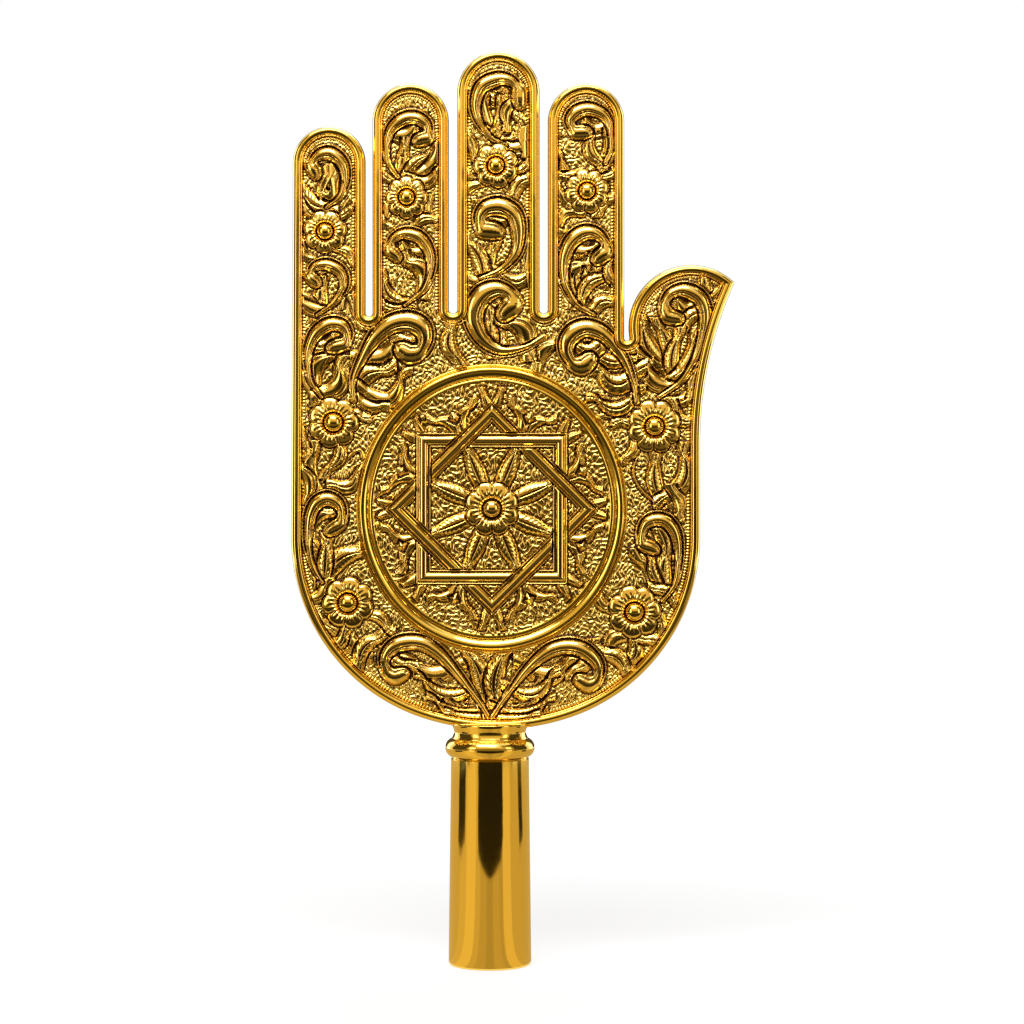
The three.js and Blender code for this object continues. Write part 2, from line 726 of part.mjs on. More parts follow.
// Raised ridge along a line of points, each with the ridge's width and height there, under a flat top
function ridge(line) {
  const sections = line.map((point, i) => {
    const before = line[Math.max(i - 1, 0)];
    const after = line[Math.min(i + 1, line.length - 1)];
    const length = Math.hypot(after.x - before.x, after.z - before.z);
    const acrossX = -(after.z - before.z) / length;
    const acrossZ = (after.x - before.x) / length;
    const place = (side, height) => [
      point.x + acrossX * side * point.width,
      -(sheetFace + height),
      point.z + acrossZ * side * point.width,
    ];
    const top = ridgeTopShare / 2;
    return [place(0.5, 0), place(top, point.height), place(-top, point.height), place(-0.5, 0)];
  });
  return solidOf(stackedSolid(sections));
}

// Leaf along a bent line from its foot to its tip
function leafRelief(leaf) {
  const [x, z] = rosetteMiddles[leaf.by];
  const foot = new THREE.Vector2(x + leaf.foot[0], z + leaf.foot[1]);
  const tip = new THREE.Vector2(x + leaf.tip[0], z + leaf.tip[1]);
  const run = tip.clone().sub(foot);
  const bend = new THREE.Vector2(-run.y, run.x).multiplyScalar(2 * leaf.bend);
  const line = new THREE.QuadraticBezierCurve(foot, foot.clone().add(tip).divideScalar(2).add(bend), tip);
  return ridge(
    leafForm.map(({ along, share }) => {
      const point = line.getPoint(along);
      return { x: point.x, z: point.y, width: leaf.width * share, height: leafHeight * share };
    }),
  );
}

// Round solid about the medallion's middle, drawn out as the medallion is
function medallionRound(radius, length) {
  return crossHole(radius, medallionX, medallionZ, length, ringSteps, medallionStretch);
}

// Sheet with its relief, which stops short of the rim's lip and of the medallion's ring
function embossedSheet() {
  const opening = medallionRound(sheetOpeningRadius, throughLength);
  const ringRoom = medallionRound(ringOuterRadius + seatGap, throughLength);
  const reliefRoom = plate(handOutline(rimWidth + seatGap), -throughLength, 0).subtract(ringRoom);
  const ornament = [
    ...rosettes.map(placed).map(rosetteRelief),
    ...scrolls.map(placed).map(scrollLine).map(ridge),
    ...leaves.map(leafRelief),
  ];
  const relief = wasm.Manifold.union(ornament).intersect(reliefRoom);
  const blank = plate(handOutline(sheetEdgeInset), -sheetFace, -sheetBack).subtract(opening);
  return geometryOf(blank.add(relief).subtract(rivetHoles()));
}

// Ring of the medallion: a half-round bead with a low step inside it and a thin edge outside, and a rib
// below that keeps the disc and the sheet apart
function medallionRing() {
  const foot = sheetFace + seatGap;
  const beadMiddle = ringInnerRadius + ringStepWidth + ringBeadWidth / 2;
  const ribInner = ringRibRadius - ringRibWidth / 2;
  const ribOuter = ringRibRadius + ringRibWidth / 2;
  const bead = arcPoints(0, 0, 1, 180 - ringBeadFootAngle, ringBeadFootAngle, beadSteps).map(
    ([across, up]) => [beadMiddle + (across * ringBeadWidth) / 2, -foot - up * ringBeadHeight],
  );
  const profile = [
    [ringInnerRadius, -foot],
    [ringInnerRadius + ringStepWidth / 2, -foot - ringStepHeight],
    ...bead,
    [ringOuterRadius, -foot],
    [ribOuter, -foot],
    [ribOuter, -sheetBack],
    [ribInner, -sheetBack],
    [ribInner, -foot],
    [ringInnerRadius, -foot],
  ];
  return turnedAcross(profile, medallionX, medallionZ, ringSteps, medallionStretch);
}

// Directions in degrees that share a full turn equally
function turnsOf(count, first) {
  return Array.from({ length: count }, (_, i) => first + (360 * i) / count);
}

// Square band with a raised middle line, its corners mitred, as one half of the eight-pointed star
function starSquare(turn) {
  const halfAtCorner = starBandWidth / Math.SQRT2;
  const loops = [
    [starReach + halfAtCorner, 0],
    [starReach, starHeight],
    [starReach - halfAtCorner, 0],
  ];
  const rings = loops.map(([reach, height]) =>
    turnsOf(4, turn).map((side) => [
      medallionX + reach * Math.cos(radians(side)),
      -(sheetFace + height),
      medallionZ + reach * Math.sin(radians(side)),
    ]),
  );
  return solidOf(loopedSolid(rings));
}

// Pyramid stud between two points of the star
function stud(turn) {
  const x = medallionX + studReach * Math.cos(radians(turn));
  const z = medallionZ + studReach * Math.sin(radians(turn));
  const ring = (size, height) =>
    turnsOf(4, turn).map((side) => [
      x + size * Math.cos(radians(side)),
      -(sheetFace + height),
      z + size * Math.sin(radians(side)),
    ]);
  return solidOf(stackedSolid([ring(studSize, 0), ring(studTipSize, studHeight)]));
}

function medallionDisc() {
  const disc = medallionRound(medallionRadius, sheetThickness).translate([
    0,
    -(sheetBack + sheetThickness / 2),
    0,
  ]);
  const heart = rosetteRelief({ ...medallionRosette, x: medallionX, z: medallionZ });
  const halfStep = 180 / starPoints;
  const studs = turnsOf(starPoints, halfStep).map(stud);
  return geometryOf(wasm.Manifold.union([disc, heart, starSquare(0), starSquare(45), ...studs]));
}

// Through rivet with a polished dome on each side of the hand
function rivet(rosette) {
  const { x, z } = placed(rosette);
  const seat = sheetFace + rosetteSeatHeight + seatGap;
  const dome = [];
  for (let i = 0; i <= domeSteps; i++) {
    const angle = radians(90 - (90 * i) / domeSteps);
    dome.push([rosette.dome * Math.cos(angle), seat + rosette.dome * domeFlattening * Math.sin(angle)]);
  }
  dome.push([rivetShankRadius, seat]);
  const profile = [
    ...dome.map(([radius, depth]) => [radius, -depth]),
    ...dome.toReversed(),
  ];
  return meshOf(rosetteName(rosette) + "_rivet", turnedAcross(profile, x, z, rivetSteps), "polished");
}

// A piece of the palm side, and the same piece mirrored for the back
function bothSides(name, geometry, finish) {
  const front = meshOf("front_" + name, geometry, finish);
  const back = meshOf("back_" + name, geometry, finish);
  back.scale.set(1, -1, 1);
  return [front, back];
}

const finial = new THREE.Group();
finial.add(socketTube(), neckCollar(), ...tangPins(), corePlate(), rimBand());
finial.add(...bothSides("sheet", embossedSheet(), "chased"));
finial.add(...bothSides("medallion_ring", medallionRing(), "polished"));
finial.add(...bothSides("medallion", medallionDisc(), "chased"));
finial.add(...rosettes.map(rivet));

export default finial;
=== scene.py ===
"""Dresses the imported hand-shaped finial with its embossed relief, polished mouldings, finishes and studio."""

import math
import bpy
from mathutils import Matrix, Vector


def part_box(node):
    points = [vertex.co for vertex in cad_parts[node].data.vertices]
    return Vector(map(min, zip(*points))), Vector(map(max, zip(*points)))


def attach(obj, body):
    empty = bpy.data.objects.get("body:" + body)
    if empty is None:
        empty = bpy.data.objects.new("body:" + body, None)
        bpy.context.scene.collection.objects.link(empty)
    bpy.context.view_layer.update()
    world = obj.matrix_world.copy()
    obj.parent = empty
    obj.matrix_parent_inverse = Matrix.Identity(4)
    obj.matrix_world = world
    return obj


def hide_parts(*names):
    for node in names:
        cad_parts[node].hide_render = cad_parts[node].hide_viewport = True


bl_info = {
    "name": "Hand-Shaped Finial",
    "version": (1, 0, 0),
    "blender": (4, 5, 0),
    "location": "3D View > Sidebar > Finial",
    "description": "Builds the embossed brass hand of a ceremonial standard over its CAD frame",
    "category": "Add Mesh",
}

import bmesh
import bpy
import numpy as np
from bpy.props import FloatProperty, FloatVectorProperty, PointerProperty
from mathutils import Vector

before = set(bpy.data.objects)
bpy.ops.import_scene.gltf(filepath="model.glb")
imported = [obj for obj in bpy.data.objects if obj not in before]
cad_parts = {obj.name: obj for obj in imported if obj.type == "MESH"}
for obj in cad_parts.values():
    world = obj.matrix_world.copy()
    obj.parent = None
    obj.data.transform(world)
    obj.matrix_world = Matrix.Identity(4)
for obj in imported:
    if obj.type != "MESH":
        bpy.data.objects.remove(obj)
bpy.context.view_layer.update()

# Lengths are in millimetres, with X towards the thumb, Y towards the back and Z up the socket
MM = 0.001


def box_mm(node):
    """Lowest and highest corners of a CAD node in millimetres"""
    low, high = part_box(node)
    return np.array(low) / MM, np.array(high) / MM


rim_low, rim_high = box_mm("rim_band")
ring_low, ring_high = box_mm("front_medallion_ring")
disc_low, disc_high = box_mm("front_medallion")
sheet_high = box_mm("front_sheet")[1]
neck_high = box_mm("neck_collar")[1]
tube_high = box_mm("socket_tube")[1]

# Palm, fingers and thumb, measured from the palm's left edge and from the rim's lowest point
PALM_LEFT = rim_low[0]
PALM_BOTTOM = rim_low[2]
PALM_RIGHT = 99.1
PALM_SIDE_SHIFT = 6.4
PALM_BOTTOM_SPREAD = 21
FINGER_INSET = 0.8
FINGER_WIDTHS = (34.2, 36.0, 38.8, 36.0)
FINGER_TIPS = (284.4, 304.7, 319.8, 304.7)
SLOT_WIDTHS = (3.3, 4.0, 3.9)
SLOT_FEET = (194.9, 196.3, 196.3)
THUMB_RADIUS = 29.5
THUMB_HEIGHT = 189.7
THUMB_GAP = 2.1
THUMB_FILLET = 1.25
THUMB_TIP_ROUNDING = 1.3
SHARPEST = 0.1
THUMB_OVERHANG = 16.3
THUMB_TIP_ANGLE = 46
FLANK_FOOT = 135

# Layers of the hand, outwards from its middle plane, and the gap between pieces that seat on each other
SEAT_GAP = 0.3
SHEET_THICKNESS = 1.0
SHEET_BACK = -sheet_high[1]
SHEET_FACE = SHEET_BACK + SHEET_THICKNESS
RIM_SLOT_FACE = SHEET_FACE + SEAT_GAP
RIM_HALF = rim_high[1]

# Rolled rim, by insets from the outline: its wall round the sheet's edge, the crest of its outer bead, the
# groove with its depth from the middle plane, and the thin line over the sheet
RIM_WALL = 2.2
RIM_CREST = 2.2
RIM_GROOVE = (3.85, 3.8)
RIM_LINE_MIDDLE = 4.3
RIM_LINE_HALF = 0.42
RIM_LINE_HEIGHT = 0.85
RIM_LINE_FOOT = 0.25
RIM_LINE_SETBACK = 0.02
RIM_LIP = (0.1, 0.15)

# Medallion and its ring
DISC_X = (ring_low[0] + ring_high[0]) / 2
DISC_Z = (ring_low[2] + ring_high[2]) / 2
DISC_STRETCH = (ring_high[2] - ring_low[2]) / (ring_high[0] - ring_low[0])
DISC_RADIUS = (disc_high[0] - disc_low[0]) / 2
RING_OUTER = (ring_high[0] - ring_low[0]) / 2
RING_EDGE = 1.3
RING_EDGE_HEIGHT = 0.75
RING_EDGE_SETBACK = 0.08
RING_BEAD = 4.8
RING_BEAD_FOOT = 0.1
RING_SKEW = 0.3
RING_INNER_SLOPE = 0.78
RING_OUTER_SLOPE = 0.6
RING_STEP = 2.6
RING_STEP_HEIGHT = 0.8
RING_STEP_SETBACK = 0.15
RING_INNER = RING_OUTER - RING_EDGE - RING_BEAD - RING_STEP
RING_RIB = 1.0
RING_RIB_RADIUS = RING_INNER + RING_STEP + RING_RIB / 2
RING_HEIGHT = -ring_low[1] - SHEET_FACE - SEAT_GAP
STAR_MARGIN = 9.8
STAR_REACH = RING_INNER - STAR_MARGIN
STAR_BAND_HALF = 3.4
STUD_MARGIN = 9.3
STUD_REACH = RING_INNER - STUD_MARGIN
STUD_SIZE = 3.6
STUD_HEIGHT = 2.2

# Neck and socket
BEAD_RADIUS = 4.7
BEAD_TOP = 17.9
WAIST_RADIUS = 17.0
WAIST_LIP = 17.7
WAIST_HEIGHT = 6.9
WAIST_HOLLOW = 0.8
NECK_CHAMFER = 0.4
SPIGOT_CHAMFER = 1.0
SPIGOT_LENGTH = 14
SADDLE_GAP = 0.05
TUBE_MOUTH = 19.5
TUBE_TOP = 18.4
TUBE_WALL = 1.8
TUBE_LIP = 0.5
TUBE_CHAMFER = 0.3

# Rosettes, by the rivet at the heart of each: radius, number of petals and turn in degrees
ROSETTES = {
    "little_finger": (10.4, 7, 10),
    "ring_finger": (10.2, 8, 0),
    "middle_finger": (10.8, 7, 25),
    "index_finger": (10.6, 8, 15),
    "palm_upper_left": (12.1, 7, 0),
    "palm_upper_right": (12.8, 8, 20),
    "palm_lower_left": (12.3, 7, 30),
    "palm_lower_right": (12.6, 7, 5),
}
ROSETTE_SEAT = 1.0
MEDALLION_ROSETTE = (13.0, 8, 0)
MEDALLION_DOME = 4.2
DOME_FLATTENING = 0.85
RIVET_SHANK = 1.6
RIVET_EDGE = 0.15

# How a leaf is modelled: plump with one crease, with a midrib and veins, or with side lobes
PLUMP, VEINED, LOBED = "plump", "veined", "lobed"

# Scrolls round each rivet: 1 where it winds anticlockwise or -1, its half width, and the points of its
# middle line across and up from the rivet's centre
SCROLLS = {
    "little_finger": (
        (1, 2.7, ((1, 11), (8, 16.5), (11, 24.5), (9.5, 33), (3, 38.5), (-4, 37), (-7.5, 31.5),
                  (-5.5, 26.5))),
        (1, 2.4, ((-3.5, -39.5), (4.5, -34), (10, -26), (8.5, -18), (1.5, -14), (-5.5, -15.5), (-8, -21),
                  (-4.5, -25))),
    ),
    "ring_finger": (
        (-1, 2.7, ((-4.5, 9.5), (-9.5, 17), (-10.5, 26), (-8, 33.5), (-2, 38.5), (5, 39), (10.5, 35),
                   (11, 28), (5.5, 25.5))),
        (1, 2.5, ((-0.5, -51), (8.5, -44), (12.5, -34.5), (12, -25), (7, -17.5), (-1, -15.5), (-7.5, -19),
                  (-9, -25), (-5, -29))),
    ),
    "middle_finger": (
        (-1, 2.9, ((4.5, 9), (-3.5, 13.5), (-9.5, 21.5), (-11, 30), (-8, 38.5), (0, 42.5), (7.5, 41.5),
                   (12, 36), (12.5, 29))),
        (1, 3.5, ((-6.5, -53.5), (4, -49), (11, -41), (12.5, -30.5), (10, -21.5), (2.5, -17), (-5.5, -18.5),
                  (-9, -24.5), (-6.5, -31), (0.5, -32.5))),
        (-1, 3.8, ((23, -81), (14, -86.5), (4, -88.5), (-3, -86.5), (-9, -81), (-12.5, -73), (-11.5, -65),
                   (-7, -58.5), (0.5, -56), (7.5, -59), (9.5, -65.5), (5, -71))),
    ),
    "index_finger": (
        (1, 2.8, ((9, 13), (12, 21), (12, 31), (8.5, 37.5), (1, 40.5), (-6, 38.5), (-9.5, 33), (-6, 27),
                  (0, 26.5))),
        (-1, 3.0, ((3, -58.5), (-6, -53), (-11.5, -44), (-12.5, -33), (-9.5, -23.5), (-3, -18), (4, -18),
                   (9, -22.5), (10, -29), (5.5, -33))),
    ),
    "palm_upper_left": (
        (-1, 2.8, ((-6, 12), (-11, 19), (-13, 26.5), (-13, 35), (-9, 43.5), (-2, 48), (5, 47), (8, 41.5),
                   (5.5, 36), (-0.5, 34))),
        (-1, 3.8, ((9, 10.5), (8.5, 20.5), (13, 32), (19, 42), (27, 48.5), (36, 50), (43, 46.5), (45, 39.5),
                   (42, 33), (36, 30.5), (31.5, 33))),
    ),
    "palm_upper_right": (
        (1, 2.9, ((2.5, 13.5), (13.5, 21.5), (21, 33), (25, 45.5), (25.5, 55), (22, 62.5), (14, 66),
                  (6.5, 63.5), (3.5, 57.5), (5.5, 51), (11, 49.5))),
        (1, 3.6, ((-8, 11.5), (-9, 20.5), (-12, 30), (-17, 38.5), (-23.5, 45.5), (-31.5, 48.5), (-38.5, 46.5),
                  (-43, 41), (-43, 34), (-39, 28.5), (-33.5, 27), (-29.5, 30.5))),
    ),
    "palm_lower_left": (
        (-1, 2.8, ((-12.5, 9.5), (-17, 17), (-19.5, 25), (-20, 33), (-19, 42), (-15.5, 48.5), (-9.5, 51),
                   (-4, 48.5), (-1.5, 43), (-3, 36.5), (-8, 33))),
        (1, 3.1, ((67, -54), (61, -44), (53, -33), (44.5, -23), (36.5, -17.5), (28, -16.5), (20.5, -19),
                  (16, -25), (17, -32), (21.5, -36), (26.5, -34.5))),
    ),
    "palm_lower_right": (
        (1, 2.7, ((13.5, 5), (19, 12), (21.5, 20), (22, 29.5), (20.5, 38), (16, 44), (10, 45.5), (4.5, 43),
                  (2, 37), (3.5, 31), (9, 28.5))),
        (-1, 3.1, ((-67.5, -49.5), (-61, -39), (-52.5, -27), (-43, -18), (-34.5, -14.5), (-26, -15),
                   (-19.5, -19), (-15.5, -25), (-16.5, -32), (-21.5, -35.5), (-26.5, -33))),
    ),
}

# Leaves round each rivet: foot and tip across and up from the rivet's centre, bend to the left as a share
# of the length, width and kind
LEAVES = {
    "little_finger": (
        (2, 12, 3, 25.5, 0.1, 8, PLUMP), (0, 11, -10, 18.5, 0.15, 7, VEINED),
        (-4.5, 6.5, -9.5, 12, 0.1, 3.5, VEINED), (5.5, 6.5, 13, 12, -0.1, 3.5, VEINED),
        (-1, 34, 7, 30, 0.35, 4, PLUMP), (-3.5, -19.5, 6, -19, 0.35, 5, PLUMP),
        (-3, -38.5, -2, -26.5, 0, 6, VEINED), (-5, -39.5, -11, -30.5, -0.15, 5, PLUMP),
        (-7, -12.5, -11.5, -8, 0.2, 3.5, PLUMP), (7.5, -8.5, 12.5, -13.5, 0.2, 4, VEINED),
        (8, -33, 12.5, -26, 0.2, 3.5, PLUMP),
    ),
    "ring_finger": (
        (-7.5, 30, 4.5, 36, -0.3, 6, PLUMP), (-3, 10.5, -1, 23.5, 0, 5, VEINED),
        (-1, 9.5, 10, 19.5, 0.1, 4.5, VEINED), (9.5, 13.5, 14, 23.5, -0.2, 6, PLUMP),
        (4, 8.5, 13.5, 11.5, -0.3, 5, PLUMP), (-7, 8, -12.5, 13, 0.1, 3.5, VEINED),
        (-9, -4.5, -13, -9.5, 0.2, 4, PLUMP), (10, -3, 13.5, -10.5, -0.3, 4.5, PLUMP),
        (4.5, -13, 13, -10.5, 0.2, 4, VEINED), (8, -25, -2, -20.5, 0.35, 5.5, PLUMP),
        (8, -42, 1.5, -31, -0.3, 7, PLUMP), (0, -49.5, -10.5, -38.5, 0.25, 7.5, LOBED),
        (-3.5, -52, -12, -48.5, 0.2, 4, VEINED), (-9, -13, -12.5, -7.5, 0.2, 3.5, PLUMP),
    ),
    "middle_finger": (
        (-8.5, 33, 4, 38.5, -0.35, 6.5, PLUMP), (-3, 16, -5.5, 31, 0.15, 7, PLUMP),
        (-1.5, 14.5, 11, 18, -0.45, 5.5, VEINED), (7, 8.5, 15.5, 13, -0.25, 6, PLUMP),
        (-10.5, 6, -14, 15, -0.1, 4, VEINED), (2.5, 30, 9, 24.5, 0.2, 5, VEINED),
        (10.5, -3, 15.5, 4, -0.2, 4.5, VEINED), (-10.5, -6.5, -15, -1, 0.2, 4, PLUMP),
        (9, -12.5, 16, -6.5, 0.2, 5.5, VEINED), (-9, -9, -14.5, -14.5, -0.2, 4, PLUMP),
        (-6, -21.5, 5.5, -25, -0.35, 6, PLUMP), (-5.5, -53.5, -1.5, -40, 0.05, 5.5, VEINED),
        (-6.5, -53.5, -13, -37, -0.15, 6.5, VEINED), (-7, -54, -15.5, -49.5, 0.25, 4.5, PLUMP),
        (4, -52, 15.5, -50.5, -0.3, 5.5, VEINED), (14, -46, 16, -35.5, 0.1, 4, PLUMP),
        (-8.5, -62, 4.5, -64.5, -0.4, 6.5, PLUMP), (-3, -70, 1, -79, 0.2, 6, VEINED),
        (0.5, 17, 2.5, 28, -0.15, 5.5, VEINED), (5, 20.5, 10.5, 30.5, 0.25, 4.5, PLUMP),
    ),
    "index_finger": (
        (10, 31.5, -1, 34.5, 0.4, 6, PLUMP), (7, 11.5, 9.5, 25, -0.15, 5, VEINED),
        (3, 11, -12, 15, 0.5, 5.5, PLUMP), (5, 14.5, 1.5, 24.5, 0.2, 5, VEINED),
        (7.5, 6.5, 14, 9.5, -0.1, 3.5, VEINED), (-5.5, 8, -11.5, 7.5, 0.1, 4, VEINED),
        (-5, -10, -12, -14.5, -0.3, 4.5, PLUMP), (6.5, -8, 12.5, -3.5, 0.2, 4.5, VEINED),
        (-8, -23.5, 3.5, -26, -0.35, 6, PLUMP), (-7.5, -49, 0, -35, 0.35, 7.5, PLUMP),
        (-2.5, -51, 10.5, -41, 0.25, 7.5, LOBED), (3, -58, 12.5, -52.5, 0.3, 5.5, VEINED),
        (-9.5, -5, -13.5, 1.5, 0.1, 4, PLUMP), (10, -36, 13.5, -43, -0.2, 4, VEINED),
    ),
    "palm_upper_left": (
        (-11.5, 37, 0, 41.5, -0.3, 5.5, VEINED), (-8, 13.5, -1.5, 31, 0.3, 7.5, PLUMP),
        (-4, 14, 3, 25, -0.3, 7.5, PLUMP), (14.5, 30.5, 30, 39.5, -0.25, 7.5, PLUMP),
        (11, 13.5, 23.5, 24, 0.25, 7, VEINED), (15.5, 15, 31.5, 20.5, -0.45, 6.5, PLUMP),
        (13, 10, 22, 8, -0.2, 5, PLUMP), (57.5, 31, 55.5, 43.5, 0.2, 6, VEINED),
        (-9.5, -30, -10, -15, 0.2, 7.5, PLUMP), (-12, -34, -15.5, -21.5, -0.2, 5, PLUMP),
        (2, -29.5, 11, -25, -0.3, 5.5, VEINED), (-14, -8, -16, 3, 0.1, 4, VEINED),
        (6, 3, 13.5, 2.5, 0.2, 4.5, VEINED), (-6, 52.5, -14, 56, 0.1, 5.5, PLUMP),
        (30, 41, 41, 42.5, -0.4, 6, PLUMP), (10, 56, 13, 48, 0, 4.5, PLUMP),
        (3, -11, -2, -21.5, 0.2, 5, VEINED),
    ),
    "palm_upper_right": (
        (21.5, 58, 10.5, 60, 0.4, 6.5, PLUMP), (23, 53, 14.5, 47, -0.25, 5.5, VEINED),
        (26, 61, 23.5, 72, 0.1, 5, VEINED), (27, 61, 32.5, 67.5, -0.1, 3.5, PLUMP),
        (5, 29, -5.5, 46, 0.15, 8, VEINED), (6.5, 32.5, 2.5, 46, -0.1, 5.5, VEINED),
        (8.5, 24.5, 11, 41.5, 0.1, 5.5, VEINED), (10.5, 24.5, 18, 40, -0.15, 6, VEINED),
        (5.5, 19, -4, 27.5, 0.2, 6.5, PLUMP), (8, 12, 17, 16, -0.2, 5, VEINED),
        (10, 8, 18, 2.5, -0.3, 5, VEINED), (17, 17, 20.5, 28, 0.1, 4, VEINED),
        (-6, 33, -10.5, 43.5, 0.2, 5, VEINED), (-13.5, 31, -29, 37.5, 0.2, 7.5, LOBED),
        (-10, 24.5, -25, 25.5, 0.35, 7.5, VEINED), (-9.5, 14.5, -27, 12.5, 0.3, 8, LOBED),
        (-24, 42, -37, 38.5, 0.35, 6.5, VEINED), (-55, 29, -47.5, 38.5, 0.2, 6, PLUMP),
        (-76.5, 37.5, -77.5, 49, 0, 6, VEINED), (-60, 37, -69.5, 48.5, -0.3, 7.5, PLUMP),
        (2.5, -33, 0.5, -17, 0.1, 6, VEINED), (5.5, -32.5, 13.5, -13.5, -0.25, 7, VEINED),
        (-7, 6, -15, 2.5, 0.3, 5, VEINED), (-9, -7, -13, -14, 0.2, 4.5, PLUMP),
    ),
    "palm_lower_left": (
        (-18.5, 34.5, -8.5, 42, 0.25, 6, PLUMP), (-12.5, 15.5, -16.5, 29, -0.1, 5, VEINED),
        (-9, 14, 4, 23.5, 0.15, 7.5, VEINED), (-11, 13, -10, 27.5, 0, 6, VEINED),
        (6, -22, 0, -13.5, 0.2, 6.5, PLUMP), (49.5, -31, 31, -28.5, 0.25, 7.5, PLUMP),
        (58, -40.5, 36, -36, 0.25, 8, LOBED), (63, -50, 42, -46, 0.2, 7, LOBED),
        (19.5, -24.5, 28, -28.5, -0.2, 5, VEINED), (5.5, -27, 13.5, -17.5, 0.2, 6, VEINED),
        (66, -53.5, 50, -52, 0.1, 4.5, VEINED), (67, -52, 67, -37.5, 0, 7, VEINED),
        (64, -43, 58.5, -26, -0.1, 7.5, VEINED), (69, -43, 72.5, -26, 0.1, 7.5, VEINED),
        (-8.5, -11.5, -15, -5, 0.1, 4.5, VEINED), (-11, 7, -17.5, 2, 0.2, 5, PLUMP),
        (-2, -15, -7.5, -20.5, 0.2, 5, VEINED), (11, -6, 18, -11, 0.2, 4.5, VEINED),
    ),
    "palm_lower_right": (
        (15, 30, 10.5, 40, -0.1, 6.5, VEINED), (9.5, 14.5, 3.5, 24, -0.2, 7, PLUMP),
        (14.5, 12.5, 14.5, 26, 0.1, 6.5, VEINED), (12, 13, 8, 25, 0.1, 4.5, VEINED),
        (-5.5, -11.5, -11.5, -17.5, -0.3, 6, PLUMP), (0, -14.5, -3, -23.5, 0.2, 5.5, VEINED),
        (-50.5, -26, -32, -24, -0.3, 7.5, PLUMP), (-57.5, -36, -40, -31, -0.3, 8, LOBED),
        (-21, -18, -27, -26.5, 0.2, 6, VEINED), (-63.5, -45.5, -42, -42, -0.2, 7, LOBED),
        (-66, -49.5, -49, -48.5, -0.1, 4.5, VEINED), (-13, -20, -5, -26.5, 0.2, 6, VEINED),
        (11, 10.5, 18.5, 5, 0.2, 5, VEINED), (6.5, -13, 13.5, -17.5, 0.2, 5, VEINED),
        (13, -5, 18.5, -11.5, -0.2, 4.5, PLUMP), (19, 55.5, 20.5, 47, 0.2, 5, PLUMP),
        (-12, 2, -17, 8, 0.2, 4.5, VEINED),
    ),
}

# Thin stems: half width and points from the rivet's centre
STEMS = {
    "palm_upper_left": ((0.9, ((-14.5, -36), (-6, -28.5), (2, -21.5), (8, -15.5), (12.5, -13), (14, -17))),),
    "palm_upper_right": (
        (0.9, ((-8, -13), (-10, -22.5), (-5.5, -31), (2, -36.5), (8, -43))),
        (0.8, ((10, -11.5), (14, -19), (12.5, -27), (4.5, -35))),
    ),
    "little_finger": ((0.7, ((1, -10), (-1, -13), (-8, -10), (-11, -4))),),
}

# Fineness of the relief: its grid, and the points along a scroll, a leaf or a stem
RELIEF_STEP = 0.36
LINE_STEP = 0.45
LINE_LEAST_STEPS = 6
LEAF_LEAST_STEPS = 10
CURVE_STEPS = 24
SEED = 7

# Fineness of the turned and swept forms: steps round them, and arcs of their profiles as the first and
# last angle in degrees and the number of points
TURN_STEPS = 160
SADDLE_STEPS = 480
RING_STEPS = 240
RIVET_STEPS = 48
RIM_STEPS = {
    "bottom": 90, "side": 50, "flank": 44, "tip": 10, "arch": 72, "root": 14, "finger": 56, "slot": 22,
}
RIM_LINE_ARC = (0, 150, 8)
RIM_INNER_ARC = (12, 84, 7)
RIM_OUTER_ARC = (90, 6, 14)
RING_STEP_ARC = (174, 6, 12)
RING_EDGE_ARC = (165, 10, 7)
RING_BEAD_POINTS = 30
NECK_BEAD_POINTS = 30
WAIST_POINTS = 16
NECK_CHAMFER_ARC = (0, 90, 6)
MOUTH_INNER_ARC = (15, 90, 5)
MOUTH_OUTER_ARC = (90, 0, 6)
DOME_ARC = (90, 0, 14)
SMOOTH_ANGLE = math.radians(38)


def linear(hex_colour):
    """Linear red, green and blue of an sRGB hex colour"""
    parts = [int(hex_colour[i:i + 2], 16) / 255 for i in (1, 3, 5)]
    return [c / 12.92 if c <= 0.04045 else ((c + 0.055) / 1.055) ** 2.4 for c in parts]


def length_property(name, description, millimetres):
    """A length that the sidebar shows and the operators read"""
    return FloatProperty(
        name=name,
        description=description,
        default=millimetres * MM,
        min=0,
        unit="LENGTH",
        subtype="DISTANCE",
    )


def colour_property(name, description, hex_colour):
    """A colour that the sidebar shows and the materials start from"""
    return FloatVectorProperty(
        name=name,
        description=description,
        default=linear(hex_colour),
        size=3,
        min=0,
        max=1,
        subtype="COLOR",
    )


class FinialSizes(bpy.types.PropertyGroup):
    """Sizes of the embossed work"""

    scroll_height: length_property("Scroll height", "Height of the scrolls above the sheet", 3.5)
    leaf_height: length_property("Leaf height", "Height of the widest leaves above the sheet", 3.1)
    petal_height: length_property("Petal height", "Height of the rosettes' petals above the sheet", 2.9)
    palm_grain: length_property("Palm grain", "Spacing of the punched grains between the leaves", 1.7)
    disc_grain: length_property("Medallion grain", "Spacing of the punched grains in the medallion", 2.1)
    grain_height: length_property("Grain height", "Height of the punched grains", 0.75)
    star_height: length_property("Star height", "Height of the medallion's interlaced star", 2.8)


class FinialColours(bpy.types.PropertyGroup):
    """Colours of the finishes"""

    gold: colour_property("Gold plate", "Face colour of the polished gold plate", "#FBD25C")
    chased: colour_property("Chased gold plate", "Colour of the embossed gold plate", "#FAD26C")
    # Painted shade: the brown that the chased hollows are darkened to, in place of the shade that falls in them
    painted_hollow_shade: colour_property("Painted hollow shade", "Brown that stays in the chased hollows", "#4A2402")
    steel: colour_property("Steel", "Colour of the plain rolled steel core", "#8F8E8B")
    felt: colour_property("Felt", "Tone of the felt that the metal mirrors", "#FFE29C")
    studio: colour_property("Studio", "Colour of the floor and backdrop", "#FFFFFF")


